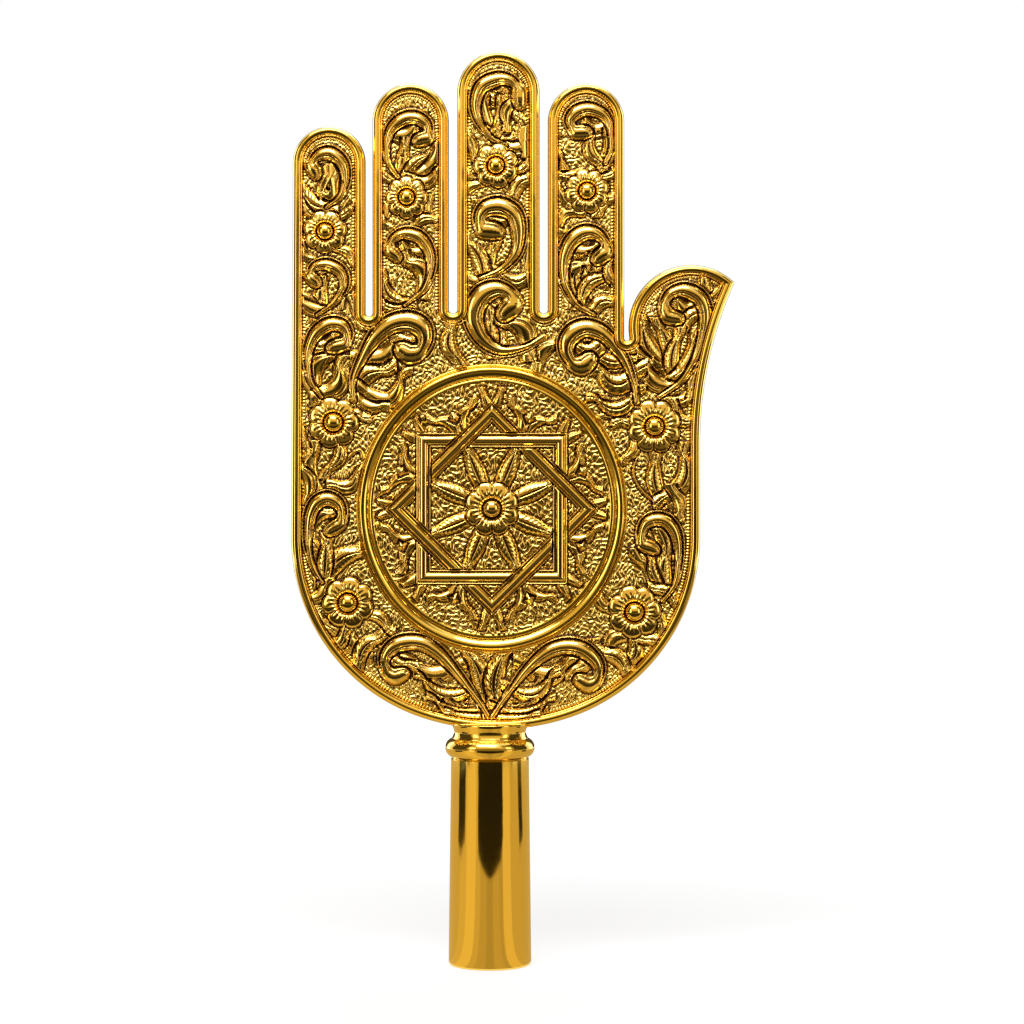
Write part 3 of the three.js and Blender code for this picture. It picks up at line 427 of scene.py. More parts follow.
def sizes():
    """The sizes as the sidebar has them"""
    return bpy.context.scene.finial_sizes


def colours():
    """The colours as the sidebar has them"""
    return bpy.context.scene.finial_colours


# Materials


def add_node(tree, kind, inputs=(), links=(), **settings):
    """Adds a node, sets its properties and sockets, and links other nodes' sockets to its own"""
    node = tree.nodes.new(kind)
    for name, value in settings.items():
        setattr(node, name, value)
    for socket, value in dict(inputs).items():
        node.inputs[socket].default_value = value
    for socket, source in dict(links).items():
        tree.links.new(source, node.inputs[socket])
    return node


def new_material(name):
    """An empty material, its node tree and its shader"""
    material = bpy.data.materials.new(name)
    material.use_nodes = True
    tree = material.node_tree
    tree.nodes.clear()
    shader = add_node(tree, "ShaderNodeBsdfPrincipled")
    add_node(tree, "ShaderNodeOutputMaterial", links={"Surface": shader.outputs["BSDF"]})
    return material, tree, shader


def object_space(tree, scale):
    """Object coordinates, so that a pattern keeps its real size on every piece"""
    place = add_node(tree, "ShaderNodeTexCoord")
    return add_node(
        tree,
        "ShaderNodeMapping",
        links={"Vector": place.outputs["Object"]},
        inputs={"Scale": (scale, scale, scale)},
    ).outputs["Vector"]


# Most of a noise's values lie between these
NOISE_LOW = 0.35
NOISE_HIGH = 0.65


def roughness_between(tree, shader, pattern, low, high):
    """Roughness that follows a noise between two values"""
    spread = add_node(
        tree,
        "ShaderNodeMapRange",
        links={"Value": pattern},
        inputs={"From Min": NOISE_LOW, "From Max": NOISE_HIGH, "To Min": low, "To Max": high},
    )
    tree.links.new(spread.outputs["Result"], shader.inputs["Roughness"])


# Rolled and turned brass, buffed to a mirror and gold plated: sharp, slightly wavy reflections, with the
# faint haze that handling leaves and hairlines from the buffing wheel, drawn coarser than real ones to show
BUFFING_WAVE = 14.0
BUFFING_LINE = 0.25
HANDLING_SPOT = 30.0


def polished_gold():
    material, tree, shader = new_material("gold_plated_brass_buffed")
    shader.inputs["Base Color"].default_value = (*colours().gold, 1)
    shader.inputs["Metallic"].default_value = 1
    shader.inputs["Coat Weight"].default_value = 0.4
    shader.inputs["Coat Roughness"].default_value = 0.06
    haze = add_node(
        tree,
        "ShaderNodeTexNoise",
        links={"Vector": object_space(tree, 1 / (HANDLING_SPOT * MM))},
        inputs={"Scale": 1, "Detail": 5, "Roughness": 0.6},
    )
    roughness_between(tree, shader, haze.outputs["Fac"], 0.06, 0.13)
    wave = add_node(
        tree,
        "ShaderNodeTexNoise",
        links={"Vector": object_space(tree, 1 / (BUFFING_WAVE * MM))},
        inputs={"Scale": 1, "Detail": 1},
    )
    soft = add_node(
        tree,
        "ShaderNodeBump",
        links={"Height": wave.outputs["Fac"]},
        inputs={"Strength": 0.35, "Distance": 0.3 * MM},
    )
    lines = add_node(
        tree,
        "ShaderNodeTexNoise",
        links={"Vector": object_space(tree, 1 / (BUFFING_LINE * MM))},
        inputs={"Scale": 1, "Detail": 2},
    )
    fine = add_node(
        tree,
        "ShaderNodeBump",
        links={"Height": lines.outputs["Fac"], "Normal": soft.outputs["Normal"]},
        inputs={"Strength": 0.05, "Distance": 0.01 * MM},
    )
    tree.links.new(fine.outputs["Normal"], shader.inputs["Normal"])
    return material


# Sheet brass, embossed from behind, chased from the front and gold plated: satin tops from the planishing
# punch, and painted shade that darkens the hollows to brown, in uneven patches
PLANISHING = 1.1
PUNCH_GRAIN = 0.3
SHADE_PATCH = 4.4


def chased_gold():
    material, tree, shader = new_material("gold_plated_brass_chased")
    shader.inputs["Metallic"].default_value = 1
    shader.inputs["Coat Weight"].default_value = 0.65
    shader.inputs["Coat Roughness"].default_value = 0.1
    # Painted shade: the colour turns from the chased gold to the painted hollow shade brown where the relief
    # lies below its surroundings, in uneven patches
    hollow = add_node(tree, "ShaderNodeAttribute", attribute_name="hollow")
    shade_patches = add_node(
        tree,
        "ShaderNodeTexNoise",
        links={"Vector": object_space(tree, 1 / (SHADE_PATCH * MM))},
        inputs={"Scale": 1, "Detail": 4},
    )
    uneven = add_node(
        tree,
        "ShaderNodeMath",
        operation="MULTIPLY_ADD",
        links={0: shade_patches.outputs["Fac"], 2: hollow.outputs["Fac"]},
        inputs={1: 0.3},
    )
    depth = add_node(
        tree,
        "ShaderNodeMapRange",
        links={"Value": uneven.outputs["Value"]},
        inputs={"From Min": 0.2, "From Max": 0.8},
        interpolation_type="SMOOTHSTEP",
    )
    tint = add_node(
        tree,
        "ShaderNodeMix",
        data_type="RGBA",
        links={0: depth.outputs["Result"]},
        inputs={6: (*colours().chased, 1), 7: (*colours().painted_hollow_shade, 1)},
    )
    tree.links.new(tint.outputs[2], shader.inputs["Base Color"])
    dull = add_node(
        tree,
        "ShaderNodeMapRange",
        links={"Value": depth.outputs["Result"]},
        inputs={"To Min": 0.09, "To Max": 0.32},
    )
    tree.links.new(dull.outputs["Result"], shader.inputs["Roughness"])
    facets = add_node(
        tree,
        "ShaderNodeTexVoronoi",
        feature="SMOOTH_F1",
        links={"Vector": object_space(tree, 1 / (PLANISHING * MM))},
        inputs={"Scale": 1, "Smoothness": 0.6},
    )
    hammered = add_node(
        tree,
        "ShaderNodeBump",
        links={"Height": facets.outputs["Distance"]},
        inputs={"Strength": 0.12, "Distance": 0.08 * MM},
    )
    grain = add_node(
        tree,
        "ShaderNodeTexNoise",
        links={"Vector": object_space(tree, 1 / (PUNCH_GRAIN * MM))},
        inputs={"Scale": 1, "Detail": 3},
    )
    grained = add_node(
        tree,
        "ShaderNodeBump",
        links={"Height": grain.outputs["Fac"], "Normal": hammered.outputs["Normal"]},
        inputs={"Strength": 0.08, "Distance": 0.04 * MM},
    )
    tree.links.new(grained.outputs["Normal"], shader.inputs["Normal"])
    return material


# Mild steel plate as it comes from the rolls: grey, with a soft mottled sheen
ROLLING_MOTTLE = 2.0


def rolled_steel():
    material, tree, shader = new_material("mild_steel_rolled")
    shader.inputs["Base Color"].default_value = (*colours().steel, 1)
    shader.inputs["Metallic"].default_value = 1
    mottle = add_node(
        tree,
        "ShaderNodeTexNoise",
        links={"Vector": object_space(tree, 1 / (ROLLING_MOTTLE * MM))},
        inputs={"Scale": 1, "Detail": 5},
    )
    roughness_between(tree, shader, mottle.outputs["Fac"], 0.3, 0.5)
    return material


made_materials = {}


def shared(make):
    """One copy of a material, made when a piece first needs it"""
    if make not in made_materials:
        made_materials[make] = make()
    return made_materials[make]


def new_piece(name, points, faces, finish, node, normals=None, hollow=None):
    """A smooth mesh piece from points in millimetres, riding on the hand in place of its CAD node"""
    mesh = bpy.data.meshes.new(name)
    mesh.from_pydata((np.asarray(points) * MM).tolist(), [], faces)
    mesh.validate()
    piece = bpy.data.objects.new(name, mesh)
    bpy.context.scene.collection.objects.link(piece)
    if hollow is not None:
        mesh.attributes.new("hollow", "FLOAT", "POINT").data.foreach_set("value", hollow.astype(np.float32))
    if normals is None:
        outwards(mesh)
        mesh.set_sharp_from_angle(angle=SMOOTH_ANGLE)
    else:
        mesh.shade_smooth()
        mesh.normals_split_custom_set_from_vertices(normals)
    mesh.materials.append(shared(finish))
    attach(piece, "root")
    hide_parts(node)
    return piece


# Points closer than this are one point
WELD = 0.001


def outwards(mesh):
    """Joins points that coincide, turns every face of a closed mesh outwards and smooths it"""
    solid = bmesh.new()
    solid.from_mesh(mesh)
    bmesh.ops.remove_doubles(solid, verts=solid.verts, dist=WELD * MM)
    bmesh.ops.delete(solid, geom=[edge for edge in solid.edges if edge.is_wire], context="EDGES")
    bmesh.ops.recalc_face_normals(solid, faces=solid.faces)
    solid.to_mesh(mesh)
    solid.free()
    mesh.shade_smooth()


def swept(section_rings):
    """Points and faces of a closed band over rings with equal numbers of points"""
    count = len(section_rings[0])
    points = [point for ring in section_rings for point in ring]
    faces = []
    for i in range(len(section_rings)):
        here = i * count
        there = ((i + 1) % len(section_rings)) * count
        for j in range(count):
            k = (j + 1) % count
            faces.append((here + j, here + k, there + k, there + j))
    return points, faces


def turned(profile, steps, place):
    """Points and faces of a closed profile of (radius, along) turned a full circle"""
    angles = [2 * math.pi * i / steps for i in range(steps)]
    rings = [[place(max(radius, 0), along, angle) for radius, along in profile] for angle in angles]
    return swept(rings)


def upright(radius, along, angle):
    """Places a turned point round the socket's axis"""
    return (radius * math.cos(angle), radius * math.sin(angle), along)


def across(x, z, stretch=1):
    """Places a turned point round a line through (x, z) towards the back, drawn out upright"""
    return lambda radius, along, angle: (
        x + radius * math.cos(angle), along, z + radius * math.sin(angle) * stretch
    )


def arc(x, z, radius, start, end, steps):
    """Points of an arc given by its middle, its radius and its angles in degrees"""
    angles = np.radians(np.linspace(start, end, steps + 1))
    return list(zip(x + radius * np.cos(angles), z + radius * np.sin(angles)))


def circles_cross(a, b):
    """The upper point where two circles (x, z, radius) cross"""
    gap_x, gap_z = b[0] - a[0], b[1] - a[1]
    gap = math.hypot(gap_x, gap_z)
    along = (gap ** 2 + a[2] ** 2 - b[2] ** 2) / (2 * gap)
    aside = math.sqrt(max(a[2] ** 2 - along ** 2, 0))
    middle = (a[0] + along * gap_x / gap, a[1] + along * gap_z / gap)
    crossings = [
        (middle[0] + sign * aside * gap_z / gap, middle[1] - sign * aside * gap_x / gap) for sign in (-1, 1)
    ]
    return max(crossings, key=lambda point: point[1])


# Outline of the hand


def finger_places():
    """Left edge, middle, half width and height of the tip's middle of each finger"""
    places = []
    left = PALM_LEFT + FINGER_INSET
    for i, (width, tip) in enumerate(zip(FINGER_WIDTHS, FINGER_TIPS)):
        places.append((left, left + width / 2, width / 2, PALM_BOTTOM + tip - width / 2))
        if i < len(SLOT_WIDTHS):
            left += width + SLOT_WIDTHS[i]
    return places


FINGERS = finger_places()
INDEX_RIGHT = FINGERS[-1][0] + FINGER_WIDTHS[-1]
THUMB_X = INDEX_RIGHT + THUMB_GAP + THUMB_RADIUS
THUMB_Z = PALM_BOTTOM + THUMB_HEIGHT
THUMB_TIP_Z = THUMB_Z + THUMB_RADIUS * math.sin(math.radians(THUMB_TIP_ANGLE))
FLANK_Z = PALM_BOTTOM + FLANK_FOOT
FLANK_RADIUS = (THUMB_OVERHANG ** 2 + (THUMB_TIP_Z - FLANK_Z) ** 2) / (2 * THUMB_OVERHANG)
PALM_MIDDLE = (PALM_LEFT + PALM_RIGHT) / 2
SIDE_RADIUS = (PALM_RIGHT - PALM_LEFT) / 2 - PALM_SIDE_SHIFT
BOTTOM_RADIUS = SIDE_RADIUS + PALM_BOTTOM_SPREAD
BOTTOM_Z = PALM_BOTTOM + BOTTOM_RADIUS
SIDE_Z = BOTTOM_Z - math.sqrt(PALM_BOTTOM_SPREAD ** 2 - PALM_SIDE_SHIFT ** 2)
PALM_JOINT = math.degrees(math.atan2(BOTTOM_Z - SIDE_Z, PALM_SIDE_SHIFT))


def hand_outline(inset):
    """Points of the hand's outline moved inwards by a distance, anticlockwise from the palm's bottom left"""
    steps = RIM_STEPS
    side = SIDE_RADIUS - inset
    points = arc(
        PALM_MIDDLE, BOTTOM_Z, BOTTOM_RADIUS - inset, PALM_JOINT - 180, -PALM_JOINT, steps["bottom"]
    )
    points += arc(PALM_MIDDLE + PALM_SIDE_SHIFT, SIDE_Z, side, -PALM_JOINT, 0, steps["side"])[1:]

    # Flank, tip and arch of the thumb
    corner = max(THUMB_TIP_ROUNDING - inset, SHARPEST)
    flank = (PALM_RIGHT + FLANK_RADIUS, FLANK_Z, FLANK_RADIUS + inset)
    thumb = (THUMB_X, THUMB_Z, THUMB_RADIUS - inset)
    corner_x, corner_z = circles_cross(
        (flank[0], flank[1], flank[2] + corner), (thumb[0], thumb[1], thumb[2] - corner)
    )
    to_flank = math.degrees(math.atan2(flank[1] - corner_z, flank[0] - corner_x))
    to_arch = math.degrees(math.atan2(corner_z - thumb[1], corner_x - thumb[0]))
    points += arc(*flank, 180, 180 + to_flank, steps["flank"])[:-1]
    points += arc(corner_x, corner_z, corner, to_flank, to_arch, steps["tip"])

    # Fillet between the arch and the index finger's edge
    root_x = INDEX_RIGHT + THUMB_FILLET
    root_z = THUMB_Z - math.sqrt((THUMB_RADIUS + THUMB_FILLET) ** 2 - (THUMB_X - root_x) ** 2)
    root_angle = math.degrees(math.atan2(THUMB_Z - root_z, THUMB_X - root_x))
    points += arc(*thumb, to_arch, 180 + root_angle, steps["arch"])[1:-1]
    points += arc(root_x, root_z, THUMB_FILLET + inset, root_angle, -180, steps["root"])

    # Fingers and the slots between them, from the index finger back to the little finger
    for i in range(len(FINGERS) - 1, -1, -1):
        left, middle, half, tip_z = FINGERS[i]
        points += arc(middle, tip_z, half - inset, 0, 180, steps["finger"])
        if i > 0:
            slot = SLOT_WIDTHS[i - 1] / 2
            foot = PALM_BOTTOM + SLOT_FEET[i - 1] + slot
            points += arc(left - slot, foot, slot + inset, 0, -180, steps["slot"])
    points += arc(
        PALM_MIDDLE - PALM_SIDE_SHIFT, SIDE_Z, side, 180, 180 + PALM_JOINT, steps["side"]
    )[:-1]
    return points


# Embossed relief. Round each raised form runs a chased line: its width, and the share of the older height
# that is left at the form's foot. A form is looked for within FORM_MARGIN of its edge.
CHASED_LINE = 0.55
CHASED_REST = 0.12
FORM_MARGIN = CHASED_LINE + 1
THINNEST_HALF = 0.12


class Relief:
    """Heights above the sheet's face on a square grid, and how far each point is outside the raised forms.
    A point that no form is near counts as far."""

    far = 9.0

    def __init__(self, low, high):
        self.step = RELIEF_STEP
        self.x = np.arange(low[0], high[0] + self.step, self.step, dtype=np.float32)
        self.z = np.arange(low[1], high[1] + self.step, self.step, dtype=np.float32)
        self.grid_x, self.grid_z = np.meshgrid(self.x, self.z)
        self.height = np.zeros_like(self.grid_x)
        self.outside = np.full_like(self.grid_x, self.far)

    def window(self, low, high, margin):
        """Rows and columns of the grid within a margin of a box"""
        rows = slice(*np.searchsorted(self.z, (low[1] - margin, high[1] + margin)))
        columns = slice(*np.searchsorted(self.x, (low[0] - margin, high[0] + margin)))
        return rows, columns

    def lay(self, where, inside, height, gap):
        """Lays a form over what is there, with a chased line round its edge"""
        old = self.height[where]
        line = np.clip(gap / CHASED_LINE, 0, 1)
        self.height[where] = np.where(inside, height, old * (CHASED_REST + (1 - CHASED_REST) * line))
        self.outside[where] = np.minimum(self.outside[where], np.maximum(gap, 0))


def smooth_line(points):
    """Evenly spaced points along a smooth curve through the given ones"""
    given = np.array([points[0], *points, points[-1]], dtype=float)
    given[0] = 2 * given[1] - given[2]
    given[-1] = 2 * given[-2] - given[-3]
    fine = []
    shares = np.linspace(0, 1, CURVE_STEPS, endpoint=False)[:, None]
    for i in range(1, len(given) - 2):
        a, b, c, d = given[i - 1:i + 3]
        fine.append(
            0.5 * (2 * b + (c - a) * shares + (2 * a - 5 * b + 4 * c - d) * shares ** 2
                   + (3 * b - a - 3 * c + d) * shares ** 3)
        )
    fine = np.vstack([*fine, given[-2:-1]])
    lengths = np.concatenate([[0], np.cumsum(np.hypot(*np.diff(fine, axis=0).T))])
    count = max(int(lengths[-1] / LINE_STEP), LINE_LEAST_STEPS)
    even = np.linspace(0, lengths[-1], count + 1)
    return np.column_stack([np.interp(even, lengths, fine[:, 0]), np.interp(even, lengths, fine[:, 1])])


def stroke(relief, line, half, shape):
    """Raises a form along a line: shape gives heights from the share across, the share along and the width"""
    line = line.astype(np.float32)
    half = np.maximum(half, THINNEST_HALF).astype(np.float32)
    where = relief.window(line.min(axis=0) - half.max(), line.max(axis=0) + half.max(), FORM_MARGIN)
    grid_x = relief.grid_x[where]
    if grid_x.size == 0:
        return
    tangent = np.gradient(line, axis=0)
    tangent /= np.hypot(*tangent.T)[:, None] + 1e-9
    east = grid_x.ravel()[:, None] - line[:, 0]
    north = relief.grid_z[where].ravel()[:, None] - line[:, 1]
    distance = np.hypot(east, north)
    best = np.argmin(distance / half, axis=1)
    rows = np.arange(len(best))
    aside = tangent[best, 0] * north[rows, best] - tangent[best, 1] * east[rows, best]
    at_end = (best == 0) | (best == len(line) - 1)
    reach = np.where(at_end, distance[rows, best], np.abs(aside))
    share = np.sign(aside) * reach / half[best]
    along = best / (len(line) - 1)
    height = shape(share, along, half[best])
    size = grid_x.shape
    relief.lay(
        where,
        (np.abs(share) < 1).reshape(size),
        height.reshape(size),
        ((np.abs(share) - 1) * half[best]).reshape(size),
    )


def rounded(share, fullness):
    """Rounded hump over shares from -1 to 1: the smaller the fullness, the steeper its sides"""
    return np.clip(1 - share ** 2, 0, 1) ** fullness


def eased(share):
    """Smooth step from 0 to 1"""
    share = np.clip(share, 0, 1)
    return share * share * (3 - 2 * share)


def ramp(value, start, run):
    """Straight step from 0 at a start to 1 after a run"""
    return np.clip((value - start) / run, 0, 1)


def bell(value, middle, half):
    """Bell-shaped hump of height 1 round a middle"""
    return np.exp(-((value - middle) / half) ** 2)


# Scroll: a fat rounded body that swells to its belly, narrows to its throat and ends in a bulb. Places along
# it are shares of its length, and widths and heights are shares of its fullest.
SCROLL_FULLNESS = 1.5
SCROLL_ROOT = 0.3
SCROLL_BELLY_AT = 0.64
SCROLL_THROAT = 0.52
SCROLL_THROAT_AT = 0.93
SCROLL_BULB = 0.42
SCROLL_BULB_AT = 0.95
SCROLL_BULB_HALF = 0.07
SCROLL_LOWEST = 0.42
SCROLL_ROUNDING = 0.62

# Thin raised line along the scroll's outer edge with a groove inside it, where the scroll is wide enough
SCROLL_LINE = 0.95
SCROLL_GROOVE = 0.25
SCROLL_LINE_SHARE = 0.6
SCROLL_LINED_FROM = 1.5
SCROLL_LINED_RUN = 0.6
SCROLL_LINE_END = 0.9
SCROLL_LINE_END_RUN = 0.06
LINE_ROUNDING = 0.5

# Crease along the scroll's wide stretches, inside its middle by a share of its half width
SCROLL_CREASE = -0.5
SCROLL_CREASE_HALF = 0.34
SCROLL_CREASE_DEPTH = 0.32
SCROLL_CREASED_FROM = 0.5
SCROLL_CREASED_RUN = 0.25


def scroll(relief, winds, half, points):
    """Lays a scroll that winds anticlockwise where winds is 1"""
    line = smooth_line(points)
    along = np.linspace(0, 1, len(line))
    full = half * SCROLL_FULLNESS
    swell = (1 - SCROLL_ROOT) * eased(along / SCROLL_BELLY_AT)
    ebb = (1 - SCROLL_THROAT) * eased((along - SCROLL_BELLY_AT) / (SCROLL_THROAT_AT - SCROLL_BELLY_AT))
    bulb = SCROLL_BULB * bell(along, SCROLL_BULB_AT, SCROLL_BULB_HALF)
    widths = full * (SCROLL_ROOT + swell - ebb + bulb)
    ahead = np.gradient(line, axis=0)
    ahead /= np.hypot(*ahead.T)[:, None]
    inwards = winds * np.column_stack([-ahead[:, 1], ahead[:, 0]])
    line = line + inwards * (widths * (1 - 1 / SCROLL_FULLNESS))[:, None]
    top = sizes().scroll_height / MM

    def shape(share, along, width):
        outer = -winds * share * width
        lined = ramp(width, SCROLL_LINED_FROM, SCROLL_LINED_RUN)
        lined = lined * ramp(-along, -SCROLL_LINE_END, SCROLL_LINE_END_RUN)
        border = (SCROLL_LINE + SCROLL_GROOVE) * lined
        rise = top * (SCROLL_LOWEST + (1 - SCROLL_LOWEST) * np.clip(width / full, 0, 1))
        body = rise * rounded((outer + border / 2) / (width - border / 2), SCROLL_ROUNDING)
        wide = ramp(width / full, SCROLL_CREASED_FROM, SCROLL_CREASED_RUN)
        crease = bell(outer, SCROLL_CREASE * width, SCROLL_CREASE_HALF)
        body *= 1 - SCROLL_CREASE_DEPTH * wide * crease
        edge = rounded((outer - width + SCROLL_LINE / 2) * 2 / SCROLL_LINE, LINE_ROUNDING)
        return np.maximum(body, SCROLL_LINE_SHARE * rise * edge * (lined > 0))

    stroke(relief, line, widths, shape)


# Leaf: widest below its middle, by the powers of its swell and its ebb, whose product peaks at LEAF_PEAK.
# One of the full width has the full height. Narrower ones are lower, and wider ones gain up to LEAF_WIDEST.
LEAF_FULLNESS = 1.36
LEAF_SWELL = 0.45
LEAF_EBB = 0.6
LEAF_PEAK = 0.488
LEAF_LOWEST = 0.45
LEAF_FULL_WIDTH = 7
LEAF_WIDEST = 1.1

# Plump leaf: it rises towards its tip, with a crease at one side
PLUMP_FOOT = 0.75
PLUMP_RISE = 0.35
PLUMP_ROUNDING = 0.7
PLUMP_CREASE = 0.5
PLUMP_CREASE_HALF = 0.12
PLUMP_CREASE_DEPTH = 0.4
PLUMP_CREASE_RUN = 1.6

# Veined leaf: a sunk midrib, and veins that slant from it and fade in beside it
VEINED_ROUNDING = 0.62
RIB_HALF = 0.12
RIB_DEPTH = 0.42
VEIN_SPACING = 2.2
VEIN_SLANT = 0.9
VEIN_DEPTH = 0.07
VEIN_RUN = 2.2

# Lobed leaf: a slim veined one over pairs of plump lobes, by their place along it and their reach
LOBED_FULLNESS = 0.7
LOBES = ((0.22, 0.62), (0.42, 0.66), (0.62, 0.5))
LOBE_AHEAD = 0.72
LOBE_ASIDE = 0.7
LOBE_BEND = 0.2
LOBE_WIDTH = 0.46


def leaf_axis(foot, tip, bend):
    """Points of a leaf's bent middle line, and its straight length"""
    foot, tip = np.array(foot, dtype=float), np.array(tip, dtype=float)
    run = tip - foot
    length = math.hypot(*run)
    pull = (foot + tip) / 2 + 2 * bend * np.array([-run[1], run[0]])
    shares = np.linspace(0, 1, max(int(length / LINE_STEP), LEAF_LEAST_STEPS))[:, None]
    return (1 - shares) ** 2 * foot + 2 * shares * (1 - shares) * pull + shares ** 2 * tip, length


def leaf(relief, foot, tip, bend, width, kind):
    """Lays a leaf of one of the three kinds"""
    line, length = leaf_axis(foot, tip, bend)
    along = np.linspace(0, 1, len(line))
    fullness = LEAF_FULLNESS * (LOBED_FULLNESS if kind == LOBED else 1)
    half = width / 2 * fullness * (along ** LEAF_SWELL * (1 - along) ** LEAF_EBB) / LEAF_PEAK
    share_of_top = LEAF_LOWEST + (1 - LEAF_LOWEST) * min(width / LEAF_FULL_WIDTH, LEAF_WIDEST)
    top = sizes().leaf_height / MM * share_of_top
    turn = 1 if bend >= 0 else -1

    def plump(share, along, width):
        crease = bell(share * turn, PLUMP_CREASE, PLUMP_CREASE_HALF)
        crease = crease * np.clip(np.sin(math.pi * along) * PLUMP_CREASE_RUN, 0, 1)
        rise = top * (PLUMP_FOOT + PLUMP_RISE * along)
        return rise * rounded(share, PLUMP_ROUNDING) * (1 - PLUMP_CREASE_DEPTH * crease)

    def veined(share, along, width):
        aside = np.abs(share)
        rib = 1 - RIB_DEPTH * bell(share, 0, RIB_HALF)
        phase = (along * length - aside * width * VEIN_SLANT) * 2 * math.pi / VEIN_SPACING
        veins = 1 - VEIN_DEPTH * np.clip(aside * VEIN_RUN, 0, 1) * (1 - np.cos(phase)) / 2
        return top * rounded(share, VEINED_ROUNDING) * rib * veins

    if kind == LOBED:
        last = len(line) - 1
        for share, reach in LOBES:
            start = line[int(share * last)]
            ahead = line[min(int(share * last) + 1, last)] - start
            ahead /= math.hypot(*ahead)
            for side in (-1, 1):
                aside = side * np.array([-ahead[1], ahead[0]])
                lobe = start + width * reach * (LOBE_AHEAD * ahead + LOBE_ASIDE * aside)
                leaf(relief, start, lobe, LOBE_BEND * side, width * LOBE_WIDTH, PLUMP)
    stroke(relief, line, half, plump if kind == PLUMP else veined)


# Stem: a plain round cord of metal that thickens along its way
STEM_HEIGHT = 1.7
STEM_START = 0.7
STEM_GAIN = 0.6


def stem(relief, half, points):
    """Lays a stem"""
    line = smooth_line(points)
    widths = half * (STEM_START + STEM_GAIN * np.linspace(0, 1, len(line)) ** 2)
    stroke(relief, line, widths, lambda share, along, width: STEM_HEIGHT * rounded(share, LINE_ROUNDING))


# Rosette: a well for the rivet, a fluted crown round it, and broad creased petals that fall away from it.
# The well is a share of the dome's radius, and the other places are shares of the way to the edge.
ROSETTE_WELL = 1.08
ROSETTE_WELL_FLOOR = 0.4
PETAL_LOBE = 0.17
PETAL_LOBE_ROUNDING = 0.55
PETAL_CROWN = 0.6
PETAL_FALL = 0.55
PETAL_CREASE = 0.34
PETAL_CREASE_DEPTH = 0.45
PETAL_CREASE_FROM = 0.66
PETAL_CREASE_RUN = 0.12
FLUTE_COUNT = 24
FLUTE_DEPTH = 0.2
FLUTE_START_RUN = 0.5
FLUTE_END = 0.8
FLUTE_END_RUN = 0.15


def rosette(relief, x, z, radius, petals, turn, dome):
    """Lays a rosette, with a well for a rivet whose head has the dome's radius"""
    where = relief.window((x - radius, z - radius), (x + radius, z + radius), FORM_MARGIN)
    east = relief.grid_x[where] - x
    north = relief.grid_z[where] - z
    reach = np.hypot(east, north)
    angle = np.arctan2(north, east) - math.radians(turn)
    swell = np.abs(np.cos(petals * angle / 2))
    edge = radius * (1 - PETAL_LOBE * (1 - swell ** PETAL_LOBE_ROUNDING))
    share = reach / edge
    well = dome * ROSETTE_WELL
    up = ramp(reach, well, PETAL_CROWN * edge - well)
    down = ramp(share, PETAL_CROWN, 1 - PETAL_CROWN)
    profile = np.sin(up * math.pi / 2) * (1 - down ** 2) ** PETAL_FALL
    to_valley = np.arcsin(np.clip(swell, -1, 1)) * 2 / petals * reach
    valley = bell(to_valley, 0, PETAL_CREASE) * ramp(share, PETAL_CREASE_FROM, PETAL_CREASE_RUN)
    flutes = FLUTE_DEPTH * (1 - 2 * np.abs(np.sin(FLUTE_COUNT / 2 * angle)) ** 3)
    flutes *= ramp(reach, well, FLUTE_START_RUN) * ramp(-share, -FLUTE_END, FLUTE_END_RUN)
    rise = sizes().petal_height / MM - ROSETTE_SEAT
    height = ROSETTE_SEAT + rise * profile * (1 - PETAL_CREASE_DEPTH * valley) + flutes
    height = np.where(reach < well, ROSETTE_WELL_FLOOR * ROSETTE_SEAT, height)
    relief.lay(where, share < 1, height, reach - edge)


# Grained ground: how much the grains' sizes differ, how full they are, and how low they get beside the
# raised forms. The medallion's are higher than the palm's.
GRAIN_SPREAD = 0.28
GRAIN_FULLNESS = 1.3
GRAIN_ROUNDING = 0.85
GRAIN_LOWEST = 0.12
GRAIN_RUN = 0.8
DISC_GRAIN_GAIN = 1.45


def grains(relief, pitch, height, seed):
    """Ground of irregular grains, as a punch leaves it: each swell and each dip of a noise is one grain"""
    rows, columns = relief.height.shape
    noise = np.random.RandomState(seed).standard_normal((rows, columns))
    waves = np.hypot(
        np.fft.fftfreq(rows, relief.step)[:, None], np.fft.rfftfreq(columns, relief.step)[None, :]
    )
    kept = bell(waves * 2 * pitch, 1, GRAIN_SPREAD)
    swell = np.fft.irfft2(np.fft.rfft2(noise) * kept, s=(rows, columns))
    swell = np.abs(swell) / swell.std()
    ground = (height * np.tanh(GRAIN_FULLNESS * swell) ** GRAIN_ROUNDING).astype(np.float32)
    return ground * np.clip(relief.outside / GRAIN_RUN, GRAIN_LOWEST, 1)


def blurred(values, radius):
    """Box blur, done along the rows and then along the columns"""
    width = 2 * radius + 1
    for axis in (0, 1):
        before = np.repeat(values.take([0], axis), radius + 1, axis)
        after = np.repeat(values.take([-1], axis), radius, axis)
        total = np.cumsum(np.concatenate([before, values, after], axis), axis, dtype=np.float64)
        to_end = total.take(range(width, total.shape[axis]), axis)
        to_start = total.take(range(total.shape[axis] - width), axis)
        values = (to_end - to_start) / width
    return values


# Hollows: how far round a point its surroundings reach, and the depth at which the painted shade is full
HOLLOW_REACH = 1.2
HOLLOW_DEPTH = 0.8


def hollows(relief):
    """How far each point lies below its surroundings, from 0 on a top to 1 in a deep groove"""
    around = blurred(relief.height, max(int(HOLLOW_REACH / relief.step), 1))
    return np.clip((around - relief.height) / HOLLOW_DEPTH, 0, 1)


